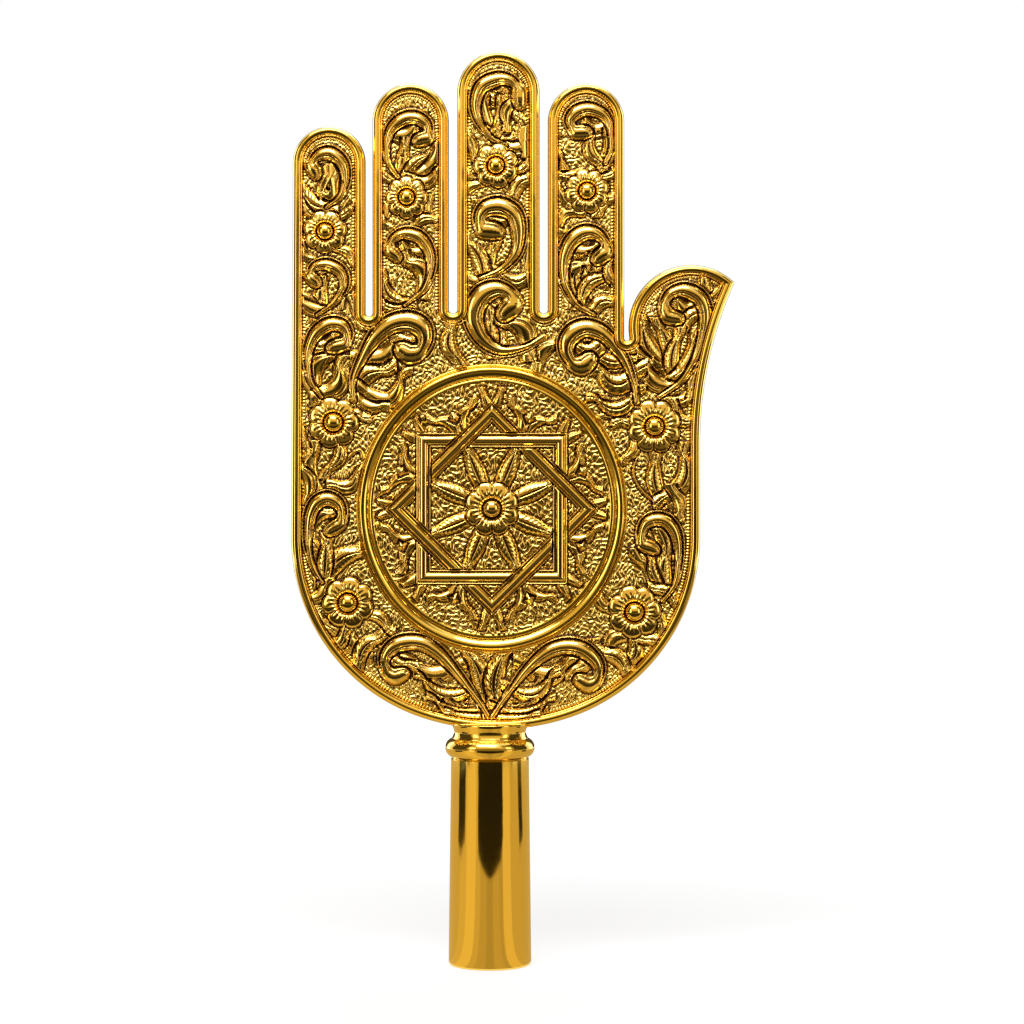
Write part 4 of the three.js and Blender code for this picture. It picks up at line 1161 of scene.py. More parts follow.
def fill_outline(relief, outline):
    """Which points of the grid lie inside an outline"""
    x0, z0 = np.array(outline).T
    x1, z1 = np.roll(x0, -1), np.roll(z0, -1)
    inside = np.zeros(relief.height.shape, dtype=bool)
    for i, z in enumerate(relief.z):
        crosses = (z0 > z) != (z1 > z)
        at = x0[crosses] + (z - z0[crosses]) * (x1[crosses] - x0[crosses]) / (z1[crosses] - z0[crosses])
        inside[i] = np.searchsorted(np.sort(at), relief.x) % 2 == 1
    return inside


def edge_distance(relief, outline, reach):
    """Distance to an outline, up to a reach, and how far round the outline the nearest point is"""
    points = np.array(outline)
    ends = np.roll(points, -1, axis=0)
    lengths = np.hypot(*(ends - points).T)
    starts = np.concatenate([[0], np.cumsum(lengths)[:-1]])
    distance = np.full_like(relief.height, reach)
    round_it = np.zeros_like(relief.height)
    for a, b, length, start in zip(points, ends, lengths, starts):
        where = relief.window(np.minimum(a, b), np.maximum(a, b), reach)
        east = relief.grid_x[where] - a[0]
        north = relief.grid_z[where] - a[1]
        if east.size == 0 or length == 0:
            continue
        run = (b - a) / length
        along = np.clip(east * run[0] + north * run[1], 0, length)
        gap = np.hypot(east - along * run[0], north - along * run[1])
        nearer = gap < distance[where]
        distance[where] = np.where(nearer, gap, distance[where])
        round_it[where] = np.where(nearer, start + along, round_it[where])
    return distance, round_it


# Border inside the rim, by insets from the outline: a plain channel and a milled band. Insets are
# measured up to BORDER_REACH.
BORDER_REACH = 9.0
BORDER_CHANNEL = 4.7
BORDER_BAND = (5.1, 6.5)
BORDER_HALF = (BORDER_BAND[1] - BORDER_BAND[0]) / 2
BORDER_MIDDLE = BORDER_BAND[0] + BORDER_HALF
BORDER_PITCH = 1.55
BORDER_TICK = 0.38
BORDER_HEIGHT = 0.85
BORDER_RUN = 0.5

# Where the sheet ends under the rim and round the medallion, and where its relief ends beside the ring
SHEET_EDGE_INSET = 2.7
SHEET_OPENING = RING_RIB_RADIUS + 1.4
RING_FOOT_CLEAR = 0.5
RING_FOOT_RUN = 0.6


def rivet_place(name):
    """Middle and dome radius of a rivet, from its CAD node"""
    low, high = box_mm(f"{name}_rivet")
    return (low[0] + high[0]) / 2, (low[2] + high[2]) / 2, (high[0] - low[0]) / 2


def palm_relief():
    """The embossed hand: its relief, the points of the grid that it covers and its hollows"""
    outline = hand_outline(0)
    xs, zs = zip(*outline)
    relief = Relief((min(xs), min(zs)), (max(xs), max(zs)))
    for name, leaves in LEAVES.items():
        x, z, _ = rivet_place(name)
        for half, points in STEMS.get(name, ()):
            stem(relief, half, [(x + east, z + north) for east, north in points])
        for east, north, tip_east, tip_north, bend, width, kind in leaves:
            leaf(relief, (x + east, z + north), (x + tip_east, z + tip_north), bend, width, kind)
    for name, scrolls in SCROLLS.items():
        x, z, _ = rivet_place(name)
        for winds, half, points in scrolls:
            scroll(relief, winds, half, [(x + east, z + north) for east, north in points])
    for name, (radius, petals, turn) in ROSETTES.items():
        x, z, dome = rivet_place(name)
        rosette(relief, x, z, radius, petals, turn, dome)

    inset, round_it = edge_distance(relief, outline, BORDER_REACH)
    inside = fill_outline(relief, outline)
    from_disc = np.hypot(relief.grid_x - DISC_X, (relief.grid_z - DISC_Z) / DISC_STRETCH)
    ticks = 1 - BORDER_TICK + BORDER_TICK * np.cos(round_it * 2 * math.pi / BORDER_PITCH)
    band = BORDER_HEIGHT * rounded((inset - BORDER_MIDDLE) / BORDER_HALF, LINE_ROUNDING) * ticks
    fade = ramp(inset, BORDER_CHANNEL, BORDER_RUN)
    fade *= ramp(from_disc, RING_OUTER - RING_FOOT_CLEAR, RING_FOOT_RUN)
    ground = grains(relief, sizes().palm_grain / MM, sizes().grain_height / MM, SEED)
    ground *= ramp(inset, BORDER_BAND[1], BORDER_RUN)
    relief.height = np.maximum(np.maximum(relief.height, ground), band) * fade
    covered = inside & (inset > SHEET_EDGE_INSET) & (from_disc > SHEET_OPENING)
    return relief, covered, hollows(relief)


# Eight-pointed star of two interlaced squares, with studs, leaves and a rosette, in the medallion
STAR_LINE = 0.8
STAR_LINE_SHARE = 0.6
STAR_ROUNDING = 0.55
STAR_GAP = 0.55

# Leaves in each of the star's sectors. The middle one runs from the rosette to the star: foot, tip and width.
# Pairs flank the stud: reach and distance aside of foot and of tip, bend and width.
MIDDLE_LEAF = (MEDALLION_ROSETTE[0] - 1.5, STAR_REACH * 0.62, 6.5)
FLANKING_LEAVES = (
    (STUD_REACH - 7.5, 1.5, STUD_REACH + 2, 8.5, -0.25, 4.5),
    (STAR_REACH * 0.93, 16.5, STUD_REACH + 5.5, 17, 0, 3.6),
)

# Where the medallion's relief ends beside its ring
DISC_EDGE_CLEAR = 0.8
DISC_EDGE_RUN = 0.6


def star_band(relief, turn):
    """Distance of each point from the middle line of a square that stands on its corner"""
    angle = math.radians(45 - turn)
    east = relief.grid_x - DISC_X
    north = relief.grid_z - DISC_Z
    along = np.abs(east * math.cos(angle) - north * math.sin(angle))
    up = np.abs(east * math.sin(angle) + north * math.cos(angle))
    return np.abs(np.maximum(along, up) - STAR_REACH / math.sqrt(2))


def band_height(distance, top):
    """Rounded band with a thin raised line along each edge"""
    ridge = rounded(distance / (STAR_BAND_HALF - STAR_LINE), STAR_ROUNDING)
    line = rounded((distance - STAR_BAND_HALF + STAR_LINE / 2) * 2 / STAR_LINE, LINE_ROUNDING)
    return np.where(distance < STAR_BAND_HALF, top * np.maximum(ridge, STAR_LINE_SHARE * line), 0)


def medallion_place(way, reach, aside):
    """A place in the medallion, by its direction from the middle, its reach and how far aside it stands"""
    return (
        DISC_X + reach * math.cos(way) - aside * math.sin(way),
        DISC_Z + reach * math.sin(way) + aside * math.cos(way),
    )


def medallion_relief():
    """The medallion's relief, the points of the grid that it covers and its hollows"""
    reach = (DISC_RADIUS, DISC_RADIUS * DISC_STRETCH)
    centre = np.array((DISC_X, DISC_Z))
    relief = Relief(centre - reach, centre + reach)
    east = relief.grid_x - DISC_X
    north = relief.grid_z - DISC_Z
    from_middle = np.hypot(east, north)
    towards_ring = np.hypot(east, north / DISC_STRETCH)
    angle = np.arctan2(north, east)

    # Leaves between the rosette and the star, and flanking each stud
    radius, petals, turn = MEDALLION_ROSETTE
    sectors = [2 * math.pi * (i + 0.5) / petals for i in range(petals)]
    for way in sectors:
        foot, tip, width = MIDDLE_LEAF
        leaf(relief, medallion_place(way, foot, 0), medallion_place(way, tip, 0), 0, width, VEINED)
        for side in (-1, 1):
            for foot, foot_aside, tip, tip_aside, bend, width in FLANKING_LEAVES:
                start = medallion_place(way, foot, foot_aside * side)
                end = medallion_place(way, tip, tip_aside * side)
                leaf(relief, start, end, bend * side, width, PLUMP)

    # Two squares that pass over and under each other in turn
    top = sizes().star_height / MM
    first, second = star_band(relief, 0), star_band(relief, 45)
    first_over = np.cos(petals / 2 * (angle - math.pi / petals)) > 0
    for over, under, chosen in ((first, second, first_over), (second, first, ~first_over)):
        cut_under = band_height(under, top) * ramp(over, STAR_BAND_HALF, STAR_GAP)
        for distance, height in ((under, cut_under), (over, band_height(over, top))):
            gap = np.where(chosen, distance - STAR_BAND_HALF, Relief.far)
            relief.lay(np.s_[:], gap < 0, height, gap)

    # Pyramid studs between the points, and the rosette with its dome
    for way in sectors:
        along = (east * math.cos(way) + north * math.sin(way)) - STUD_REACH
        aside = -east * math.sin(way) + north * math.cos(way)
        share = (np.abs(along) + np.abs(aside)) / STUD_SIZE
        relief.lay(np.s_[:], share < 1, STUD_HEIGHT * (1 - share), (share - 1) * STUD_SIZE)
    rosette(relief, DISC_X, DISC_Z, radius, petals, turn + 180 / petals, MEDALLION_DOME)
    dome = np.clip(1 - (from_middle / MEDALLION_DOME) ** 2, 0, 1) ** 0.5
    dome_height = ROSETTE_SEAT + MEDALLION_DOME * DOME_FLATTENING * dome
    relief.height = np.maximum(relief.height, dome_height * (dome > 0))

    relief.height *= ramp(-towards_ring, DISC_EDGE_CLEAR - RING_INNER, DISC_EDGE_RUN)
    grain_height = sizes().grain_height / MM * DISC_GRAIN_GAIN
    ground = grains(relief, sizes().disc_grain / MM, grain_height, SEED + 1)
    relief.height = np.maximum(relief.height, ground)
    return relief, towards_ring < DISC_RADIUS - relief.step, hollows(relief)


def grid_solid(relief, chosen, hollow):
    """Points, faces, normals and hollows of a closed sheet whose front is the relief over chosen points"""
    if not chosen.any():
        raise RuntimeError("a piece of the relief covers nothing")
    cells = chosen[:-1, :-1] & chosen[1:, :-1] & chosen[:-1, 1:] & chosen[1:, 1:]
    number = np.arange(chosen.size).reshape(chosen.shape)
    row, column = np.nonzero(cells)
    corners = np.column_stack([
        number[row, column], number[row, column + 1], number[row + 1, column + 1], number[row + 1, column]
    ])

    # Edges with a cell on one side only, in the direction that this cell goes round
    padded = np.pad(cells, 1)
    edges = []
    for down, aside, a, b in ((-1, 0, 0, 1), (0, 1, 1, 2), (1, 0, 2, 3), (0, -1, 3, 0)):
        bare = ~padded[row + 1 + down, column + 1 + aside]
        edges.append(corners[bare][:, (a, b)])
    edges = np.vstack(edges)

    used = np.unique(corners)
    front = np.full(chosen.size, -1)
    front[used] = np.arange(len(used))
    rim = np.unique(edges)
    behind = np.full(chosen.size, -1)
    behind[rim] = np.arange(len(used), len(used) + len(rim))
    x, z = relief.grid_x.ravel(), relief.grid_z.ravel()
    points = np.vstack([
        np.column_stack([x[used], -(SHEET_FACE + relief.height.ravel()[used]), z[used]]),
        np.column_stack([x[rim], np.full(len(rim), -SHEET_BACK), z[rim]]),
    ])
    start, end = edges.T
    walls = np.column_stack([front[end], front[start], behind[start], behind[end]])
    floor = filled(points, np.column_stack([behind[start], behind[end]]))
    slope_z, slope_x = np.gradient(relief.height, relief.step)
    normals = np.column_stack([-slope_x.ravel()[used], np.full(len(used), -1.0), -slope_z.ravel()[used]])
    normals /= np.linalg.norm(normals, axis=1)[:, None]
    normals = np.vstack([normals, np.tile((0.0, 1.0, 0.0), (len(rim), 1))])
    hollow = np.concatenate([hollow.ravel()[used], np.zeros(len(rim))])
    faces = front[corners].tolist() + walls.tolist() + floor
    return points, faces, normals, hollow


def filled(points, edges):
    """Triangles that close a flat outline of edges, facing the hand's middle plane"""
    flat = bmesh.new()
    places = {i: flat.verts.new(points[i]) for i in np.unique(edges)}
    numbers = {vertex: int(i) for i, vertex in places.items()}
    lines = [flat.edges.new((places[a], places[b])) for a, b in edges]
    made = bmesh.ops.triangle_fill(flat, edges=lines, use_beauty=False, normal=(0, 1, 0))
    faces = []
    for face in (item for item in made["geom"] if isinstance(item, bmesh.types.BMFace)):
        corners = [numbers[vertex] for vertex in face.verts]
        a, b, c = (points[i] for i in corners)
        turn = (b[0] - a[0]) * (c[2] - a[2]) - (b[2] - a[2]) * (c[0] - a[0])
        faces.append(corners[::-1] if turn > 0 else corners)
    flat.free()
    return faces


def relief_pieces(name, relief, chosen, hollow, node):
    """The palm side's piece of relief, and the same piece mirrored for the back"""
    points, faces, normals, hollow = grid_solid(relief, chosen, hollow)
    new_piece(f"front_{name}", points, faces, chased_gold, f"front_{node}", normals, hollow)
    mirror = np.array((1, -1, 1))
    faces = [face[::-1] for face in faces]
    new_piece(f"back_{name}", points * mirror, faces, chased_gold, f"back_{node}", normals * mirror, hollow)


# Pieces. The sheets' relief is split below the slots and in line with the slot left of the middle finger.
PALM_SPLIT_MARGIN = 4
PALM_SPLIT_Z = PALM_BOTTOM + min(SLOT_FEET) - PALM_SPLIT_MARGIN
PALM_SPLIT_X = FINGERS[2][0] - SLOT_WIDTHS[1] / 2


class FINIAL_OT_sheets(bpy.types.Operator):
    """Embossed sheets of the palm side and the back, in four pieces each"""

    bl_idname = "finial.sheets"
    bl_label = "Embossed sheets"

    def execute(self, context):
        relief, covered, hollow = palm_relief()
        row = np.searchsorted(relief.z, PALM_SPLIT_Z)
        column = np.searchsorted(relief.x, PALM_SPLIT_X)
        parts = {
            "relief_little_ring": np.s_[row:, :column + 1],
            "relief_middle_index": np.s_[row:, column:],
            "relief_palm_left": np.s_[:row + 1, :column + 1],
            "relief_palm_right": np.s_[:row + 1, column:],
        }
        for name, where in parts.items():
            chosen = np.zeros_like(covered)
            chosen[where] = covered[where]
            relief_pieces(name, relief, chosen, hollow, "sheet")
        return {"FINISHED"}


class FINIAL_OT_medallions(bpy.types.Operator):
    """Medallion discs with the interlaced star"""

    bl_idname = "finial.medallions"
    bl_label = "Medallions"

    def execute(self, context):
        relief_pieces("medallion_relief", *medallion_relief(), "medallion")
        return {"FINISHED"}


def half_round(middle, foot, half, height, sweep):
    """Points of (across, depth) over a rounded moulding, by its sweep of two angles and a number of points"""
    return [
        (middle + half * math.cos(angle), foot + height * math.sin(angle))
        for angle in np.radians(np.linspace(*sweep))
    ]


class FINIAL_OT_rings(bpy.types.Operator):
    """Moulded rings round the medallions: a plain band, a bead that leans outwards and a thin fillet"""

    bl_idname = "finial.rings"
    bl_label = "Medallion rings"

    def execute(self, context):
        foot = SHEET_FACE + SEAT_GAP
        bead_in, bead_out = RING_INNER + RING_STEP, RING_OUTER - RING_EDGE
        step_half, edge_half = RING_STEP / 2, RING_EDGE / 2
        profile = [(RING_INNER, foot)]
        profile += half_round(
            RING_INNER + step_half, foot, step_half - RING_STEP_SETBACK, RING_STEP_HEIGHT, RING_STEP_ARC
        )
        for side in np.linspace(-1, 1, RING_BEAD_POINTS):
            bulge = max(1 - side * side, 0)
            leaning = side + RING_SKEW * bulge
            rise = bulge ** (RING_INNER_SLOPE if side < 0 else RING_OUTER_SLOPE)
            profile.append((
                bead_in + (bead_out - bead_in) * (leaning + 1) / 2,
                foot + RING_BEAD_FOOT + (RING_HEIGHT - RING_BEAD_FOOT) * rise,
            ))
        profile += half_round(
            RING_OUTER - edge_half, foot, edge_half - RING_EDGE_SETBACK, RING_EDGE_HEIGHT, RING_EDGE_ARC
        )
        rib_in, rib_out = RING_RIB_RADIUS - RING_RIB / 2, RING_RIB_RADIUS + RING_RIB / 2
        profile += [(RING_OUTER, foot), (rib_out, foot), (rib_out, SHEET_BACK), (rib_in, SHEET_BACK)]
        profile.append((rib_in, foot))
        place = across(DISC_X, DISC_Z, DISC_STRETCH)
        for side, sign in (("front", -1), ("back", 1)):
            section = [(radius, sign * depth) for radius, depth in profile]
            points, faces = turned(section, RING_STEPS, place)
            new_piece(f"{side}_ring_moulding", points, faces, polished_gold, f"{side}_medallion_ring")
        return {"FINISHED"}


class FINIAL_OT_rim(bpy.types.Operator):
    """Rolled rim that binds the hand: a fat outer bead, a groove and a thin line over the sheet's edge"""

    bl_idname = "finial.rim"
    bl_label = "Rolled rim"

    def execute(self, context):
        line_end = RIM_LINE_MIDDLE + RIM_LINE_HALF
        line_foot = RIM_SLOT_FACE + RIM_LINE_FOOT
        lip, lip_rise = RIM_LIP
        groove, depth = RIM_GROOVE
        half = [(RIM_WALL, RIM_SLOT_FACE), (line_end - lip, RIM_SLOT_FACE)]
        half.append((line_end, RIM_SLOT_FACE + lip_rise))
        half += half_round(
            RIM_LINE_MIDDLE, line_foot, RIM_LINE_HALF - RIM_LINE_SETBACK, RIM_LINE_HEIGHT, RIM_LINE_ARC
        )
        half.append(RIM_GROOVE)
        half += half_round(RIM_CREST, depth, groove - RIM_CREST, RIM_HALF - depth, RIM_INNER_ARC)
        half += half_round(RIM_CREST, 0, -RIM_CREST, RIM_HALF, RIM_OUTER_ARC)
        section = half + [(0, 0)] + [(inset, -depth) for inset, depth in reversed(half)]
        rings = [[(x, depth, z) for x, z in hand_outline(inset)] for inset, depth in section]
        points, faces = swept(rings)
        new_piece("rolled_rim", points, faces, polished_gold, "rim_band")
        return {"FINISHED"}


class FINIAL_OT_neck(bpy.types.Operator):
    """Turned neck: a spigot in the socket, a bead, and a waist whose lip is cut out for the rim"""

    bl_idname = "finial.neck"
    bl_label = "Neck"

    def execute(self, context):
        shoulder = tube_high[2] + SEAT_GAP
        bead_middle = neck_high[0] - BEAD_RADIUS
        bead_z = shoulder + BEAD_RADIUS
        waist = bead_z + BEAD_RADIUS
        top = neck_high[2]
        spigot_foot = shoulder - SPIGOT_LENGTH
        bore = TUBE_TOP - TUBE_WALL - SEAT_GAP
        profile = [(0, spigot_foot), (bore - SPIGOT_CHAMFER, spigot_foot)]
        profile += [(bore, spigot_foot + SPIGOT_CHAMFER), (bore, shoulder), (TUBE_TOP - SEAT_GAP, shoulder)]
        start = -math.degrees(math.acos((TUBE_TOP - bead_middle) / BEAD_RADIUS))
        end = math.degrees(math.acos((BEAD_TOP - bead_middle) / BEAD_RADIUS))
        profile += half_round(bead_middle, bead_z, BEAD_RADIUS, BEAD_RADIUS, (start, end, NECK_BEAD_POINTS))
        for share in np.linspace(0, 1, WAIST_POINTS):
            straight = BEAD_TOP + (WAIST_LIP - BEAD_TOP) * share
            radius = straight + (WAIST_RADIUS - straight) * math.sin(math.pi * share)
            profile.append((radius, waist + WAIST_HEIGHT * WAIST_HOLLOW * share))
        profile += half_round(
            WAIST_LIP - NECK_CHAMFER, top - NECK_CHAMFER, NECK_CHAMFER, NECK_CHAMFER, NECK_CHAMFER_ARC
        )
        profile.append((0, top))
        neck = new_piece("turned_neck", *turned(profile, TURN_STEPS, upright), polished_gold, "neck_collar")

        # Saddle for the rim's lowest arc
        seat = BOTTOM_RADIUS + SADDLE_GAP
        half = RIM_HALF + SADDLE_GAP
        drum = [(0, -half), (seat, -half), (seat, half), (0, half)]
        points, faces = turned(drum, SADDLE_STEPS, across(PALM_MIDDLE, BOTTOM_Z))
        mesh = bpy.data.meshes.new("saddle_cutter")
        mesh.from_pydata((np.asarray(points) * MM).tolist(), [], faces)
        outwards(mesh)
        cutter = bpy.data.objects.new("saddle_cutter", mesh)
        context.scene.collection.objects.link(cutter)
        cut = neck.modifiers.new("saddle", "BOOLEAN")
        cut.operation = "DIFFERENCE"
        cut.solver = "EXACT"
        cut.object = cutter
        shaped = bpy.data.meshes.new_from_object(neck.evaluated_get(context.evaluated_depsgraph_get()))
        neck.modifiers.remove(cut)
        neck.data = shaped
        bpy.data.objects.remove(cutter)
        shaped.shade_smooth()
        shaped.set_sharp_from_angle(angle=SMOOTH_ANGLE)
        return {"FINISHED"}


class FINIAL_OT_socket(bpy.types.Operator):
    """Tapered pole socket, open at the mouth"""

    bl_idname = "finial.socket"
    bl_label = "Pole socket"

    def execute(self, context):
        top = tube_high[2]
        bore = TUBE_MOUTH - TUBE_WALL
        profile = [(bore, TUBE_LIP)]
        profile += half_round(bore + TUBE_LIP, TUBE_LIP, -TUBE_LIP, -TUBE_LIP, MOUTH_INNER_ARC)
        profile += half_round(TUBE_MOUTH - TUBE_LIP, TUBE_LIP, TUBE_LIP, -TUBE_LIP, MOUTH_OUTER_ARC)
        profile += [(TUBE_TOP, top - TUBE_CHAMFER), (TUBE_TOP - TUBE_CHAMFER, top)]
        profile.append((TUBE_TOP - TUBE_WALL, top))
        points, faces = turned(profile, TURN_STEPS, upright)
        new_piece("pole_socket", points, faces, polished_gold, "socket_tube")
        return {"FINISHED"}


class FINIAL_OT_rivets(bpy.types.Operator):
    """Dome-headed rivets at the hearts of the rosettes"""

    bl_idname = "finial.rivets"
    bl_label = "Rivets"

    def execute(self, context):
        seat = SHEET_FACE + ROSETTE_SEAT + SEAT_GAP
        for name in ROSETTES:
            x, z, dome = rivet_place(name)
            head = half_round(0, seat, dome, dome * DOME_FLATTENING, DOME_ARC)
            head += [(dome - RIVET_EDGE, seat - RIVET_EDGE), (RIVET_SHANK, seat - RIVET_EDGE)]
            profile = [(radius, -depth) for radius, depth in head] + head[::-1]
            points, faces = turned(profile, RIVET_STEPS, across(x, z))
            new_piece(f"{name}_dome", points, faces, polished_gold, f"{name}_rivet")
        return {"FINISHED"}


class FINIAL_OT_core(bpy.types.Operator):
    """Steel finish for the core plate and the pins that hold its tang"""

    bl_idname = "finial.core"
    bl_label = "Steel core"

    def execute(self, context):
        for name in ("core_plate", "tang_pin_lower", "tang_pin_upper"):
            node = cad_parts[name]
            node.data.materials.clear()
            node.data.materials.append(shared(rolled_steel))
        return {"FINISHED"}


# Studio: a pale floor, soft boxes round the hand, and dark flags that give polished metal its contrast.
# The camera's place and the width that it frames are in millimetres.
CAMERA_X = 10.4
CAMERA_Z = 212.9
CAMERA_DISTANCE = 1130.0
FRAME_WIDTH = 483.3
SENSOR_WIDTH = 36
CAMERA_NEAREST = 0.01

# Floor and backdrop, in metres from here on: the floor glows by the distance from the pole socket
FLOOR_FRONT = -0.42
FLOOR_REACH = 3.0
FLOOR_GLOW = (0.72, 1.0)
FLOOR_GLOW_REACH = (0.25, 1.3)
PAPER_SHARE = 0.3
BACKDROP_GLOW = 1.0
BACKDROP_LIGHT = 0.25
STAGE_MIDDLE = Vector((0, 0, 0.25))

# Soft boxes: direction from the hand as degrees round from the front and up, distance in metres, width,
# height and radiance
SOFT_BOXES = {
    "key": (-12, 58, 1.3, 1.0, 0.58, 8),
    "left": (-47, 10, 1.5, 0.4, 1.0, 2.3),
    "right": (51, 10, 1.5, 0.35, 1.0, 1.6),
    "rear_key": (170, 60, 1.3, 0.9, 0.45, 5.5),
    "rear_left": (-133, 8, 1.5, 0.4, 1.1, 1.6),
    "rear_right": (133, 8, 1.5, 0.4, 1.1, 1.4),
}

# Felt flags hung round the hand, each from one direction round and up to another, and their radiance
FELT = "#141210"
FLAG_STEPS = 8
FLAG_DISTANCE = 1.9
FLAGS = {
    "front_low": (-33, 37, -62, 0, 0.02),
    "front_level": (-33, 37, 0, 11, 0.13),
    "front_high": (-33, 37, 11, 34, 0.8),
    "left": (-112, -62, -20, 55, 0.07),
    "right": (66, 112, -20, 55, 0.06),
    "side_left": (-62, -33, -62, 34, 0.66),
    "side_right": (37, 66, -62, 34, 0.56),
    "upper_left": (-62, -33, 34, 55, 0.6),
    "upper_right": (37, 66, 34, 55, 0.3),
    "back_low": (147, 213, -62, 0, 0.03),
    "back_high": (147, 213, 0, 30, 0.1),
}

# Felt cards that lie on the floor in sectors round the tube: first azimuth, last azimuth and radiance
CARD_HEIGHT = 0.0005
SECTOR_REACH = (0.0205, 1.15)
SECTORS = (
    (-180, -92, 0.62),
    (-92, -68, 0.7),
    (-68, -40, 0.85),
    (-40, -26, 0.64),
    (-26, -8, 0.54),
    (-8, 8, 0.46),
    (8, 26, 0.56),
    (26, 36, 0.5),
    (36, 60, 0.8),
    (60, 92, 0.6),
    (92, 180, 0.58),
)

# Dark cards over them, and a shelf of three that hangs level before the hand: height, radiance and corners
SHELF_HEIGHT = 0.112
CARDS = {
    "front": (2 * CARD_HEIGHT, 0.012, (
        (-0.75, -1.15), (0.87, -1.15), (0.23, -0.3), (0.17, -0.25), (0.06, -0.215), (0, -0.2),
        (-0.06, -0.215), (-0.16, -0.25), (-0.2, -0.3),
    )),
    "left": (2 * CARD_HEIGHT, 0.02, ((-1.2, -0.34), (-0.36, -0.1), (-0.31, 0), (-0.36, 0.08), (-1.2, 0.2))),
    "right": (2 * CARD_HEIGHT, 0.02, ((1.2, -0.04), (1.2, 0.28), (0.38, 0.13), (0.33, 0.02))),
    "shelf": (SHELF_HEIGHT, 0.03, ((-0.22, -0.17), (0.22, -0.17), (0.24, -0.04), (-0.24, -0.04))),
    "shelf_front": (SHELF_HEIGHT, 0.13, ((-0.25, -0.5), (0.25, -0.5), (0.22, -0.17), (-0.22, -0.17))),
    "shelf_ends": (SHELF_HEIGHT - CARD_HEIGHT, 0.25, (
        (-0.5, -0.5), (0.5, -0.5), (0.5, -0.04), (-0.5, -0.04),
    )),
}


def seen_directly_or_in_metal(tree):
    """1 for camera, glossy and transmission rays"""
    path = add_node(tree, "ShaderNodeLightPath")
    both = add_node(
        tree,
        "ShaderNodeMath",
        operation="MAXIMUM",
        links={0: path.outputs["Is Camera Ray"], 1: path.outputs["Is Glossy Ray"]},
    )
    return add_node(
        tree,
        "ShaderNodeMath",
        operation="MAXIMUM",
        links={0: both.outputs["Value"], 1: path.outputs["Is Transmission Ray"]},
    ).outputs["Value"]


# Matt studio paper: white, without gloss, and glowing only where it is seen or mirrored
def studio_paper():
    material, tree, shader = new_material("matt_studio_paper")
    shader.inputs["Base Color"].default_value = (*(PAPER_SHARE * part for part in colours().studio), 1)
    shader.inputs["Roughness"].default_value = 1
    shader.inputs["Specular IOR Level"].default_value = 0
    shader.inputs["Emission Color"].default_value = (*colours().studio, 1)
    place = add_node(tree, "ShaderNodeNewGeometry")
    distance = add_node(
        tree, "ShaderNodeVectorMath", operation="LENGTH", links={0: place.outputs["Position"]}
    )
    level = add_node(
        tree,
        "ShaderNodeMapRange",
        links={"Value": distance.outputs["Value"]},
        inputs={
            "From Min": FLOOR_GLOW_REACH[0],
            "From Max": FLOOR_GLOW_REACH[1],
            "To Min": FLOOR_GLOW[0],
            "To Max": FLOOR_GLOW[1],
        },
    )
    glow = add_node(
        tree,
        "ShaderNodeMath",
        operation="MULTIPLY",
        links={0: seen_directly_or_in_metal(tree), 1: level.outputs["Result"]},
    )
    tree.links.new(glow.outputs["Value"], shader.inputs["Emission Strength"])
    return material


# Studio felt: nearly black, matt, and glowing at the level that the metal is to show
def studio_felt(radiance):
    material, _, shader = new_material("studio_felt")
    shader.inputs["Base Color"].default_value = (*linear(FELT), 1)
    shader.inputs["Roughness"].default_value = 1
    shader.inputs["Specular IOR Level"].default_value = 0
    shader.inputs["Emission Color"].default_value = (*colours().felt, 1)
    shader.inputs["Emission Strength"].default_value = radiance
    return material


def direction(round_it, up):
    """Unit vector from the hand, turned from the front towards the thumb and raised, in degrees"""
    round_it, up = math.radians(round_it), math.radians(up)
    return Vector((math.sin(round_it) * math.cos(up), -math.cos(round_it) * math.cos(up), math.sin(up)))


def stage_sheet(name, points, faces, material):
    """A flat or curved sheet of the studio"""
    mesh = bpy.data.meshes.new(name)
    mesh.from_pydata(points, [], faces)
    mesh.materials.append(material)
    sheet = bpy.data.objects.new(name, mesh)
    bpy.context.scene.collection.objects.link(sheet)
    return sheet


def card(name, points, radiance):
    """A flat felt card with the points as its corners"""
    return stage_sheet(f"{name}_card", points, [range(len(points))], studio_felt(radiance))


def flag(name, start, end, low, high, radiance):
    """A felt flag that curves round the hand"""
    row = FLAG_STEPS + 1
    points = [
        STAGE_MIDDLE + FLAG_DISTANCE * direction(round_it, up)
        for up in np.linspace(low, high, row)
        for round_it in np.linspace(start, end, row)
    ]
    faces = [
        (k, k + 1, k + row + 1, k + row)
        for k in (j * row + i for j in range(FLAG_STEPS) for i in range(FLAG_STEPS))
    ]
    return stage_sheet(f"{name}_flag", points, faces, studio_felt(radiance))


def soft_box(name, round_it, up, distance, width, height, radiance):
    """An area lamp that faces the hand and stays out of the camera's sight"""
    lamp = bpy.data.lights.new(f"{name}_soft_box", "AREA")
    lamp.shape = "RECTANGLE"
    lamp.size = width
    lamp.size_y = height
    lamp.energy = radiance * math.pi * width * height
    box = bpy.data.objects.new(f"{name}_soft_box", lamp)
    box.location = STAGE_MIDDLE + distance * direction(round_it, up)
    box.rotation_euler = (STAGE_MIDDLE - box.location).to_track_quat("-Z", "Y").to_euler()
    box.visible_camera = False
    bpy.context.scene.collection.objects.link(box)


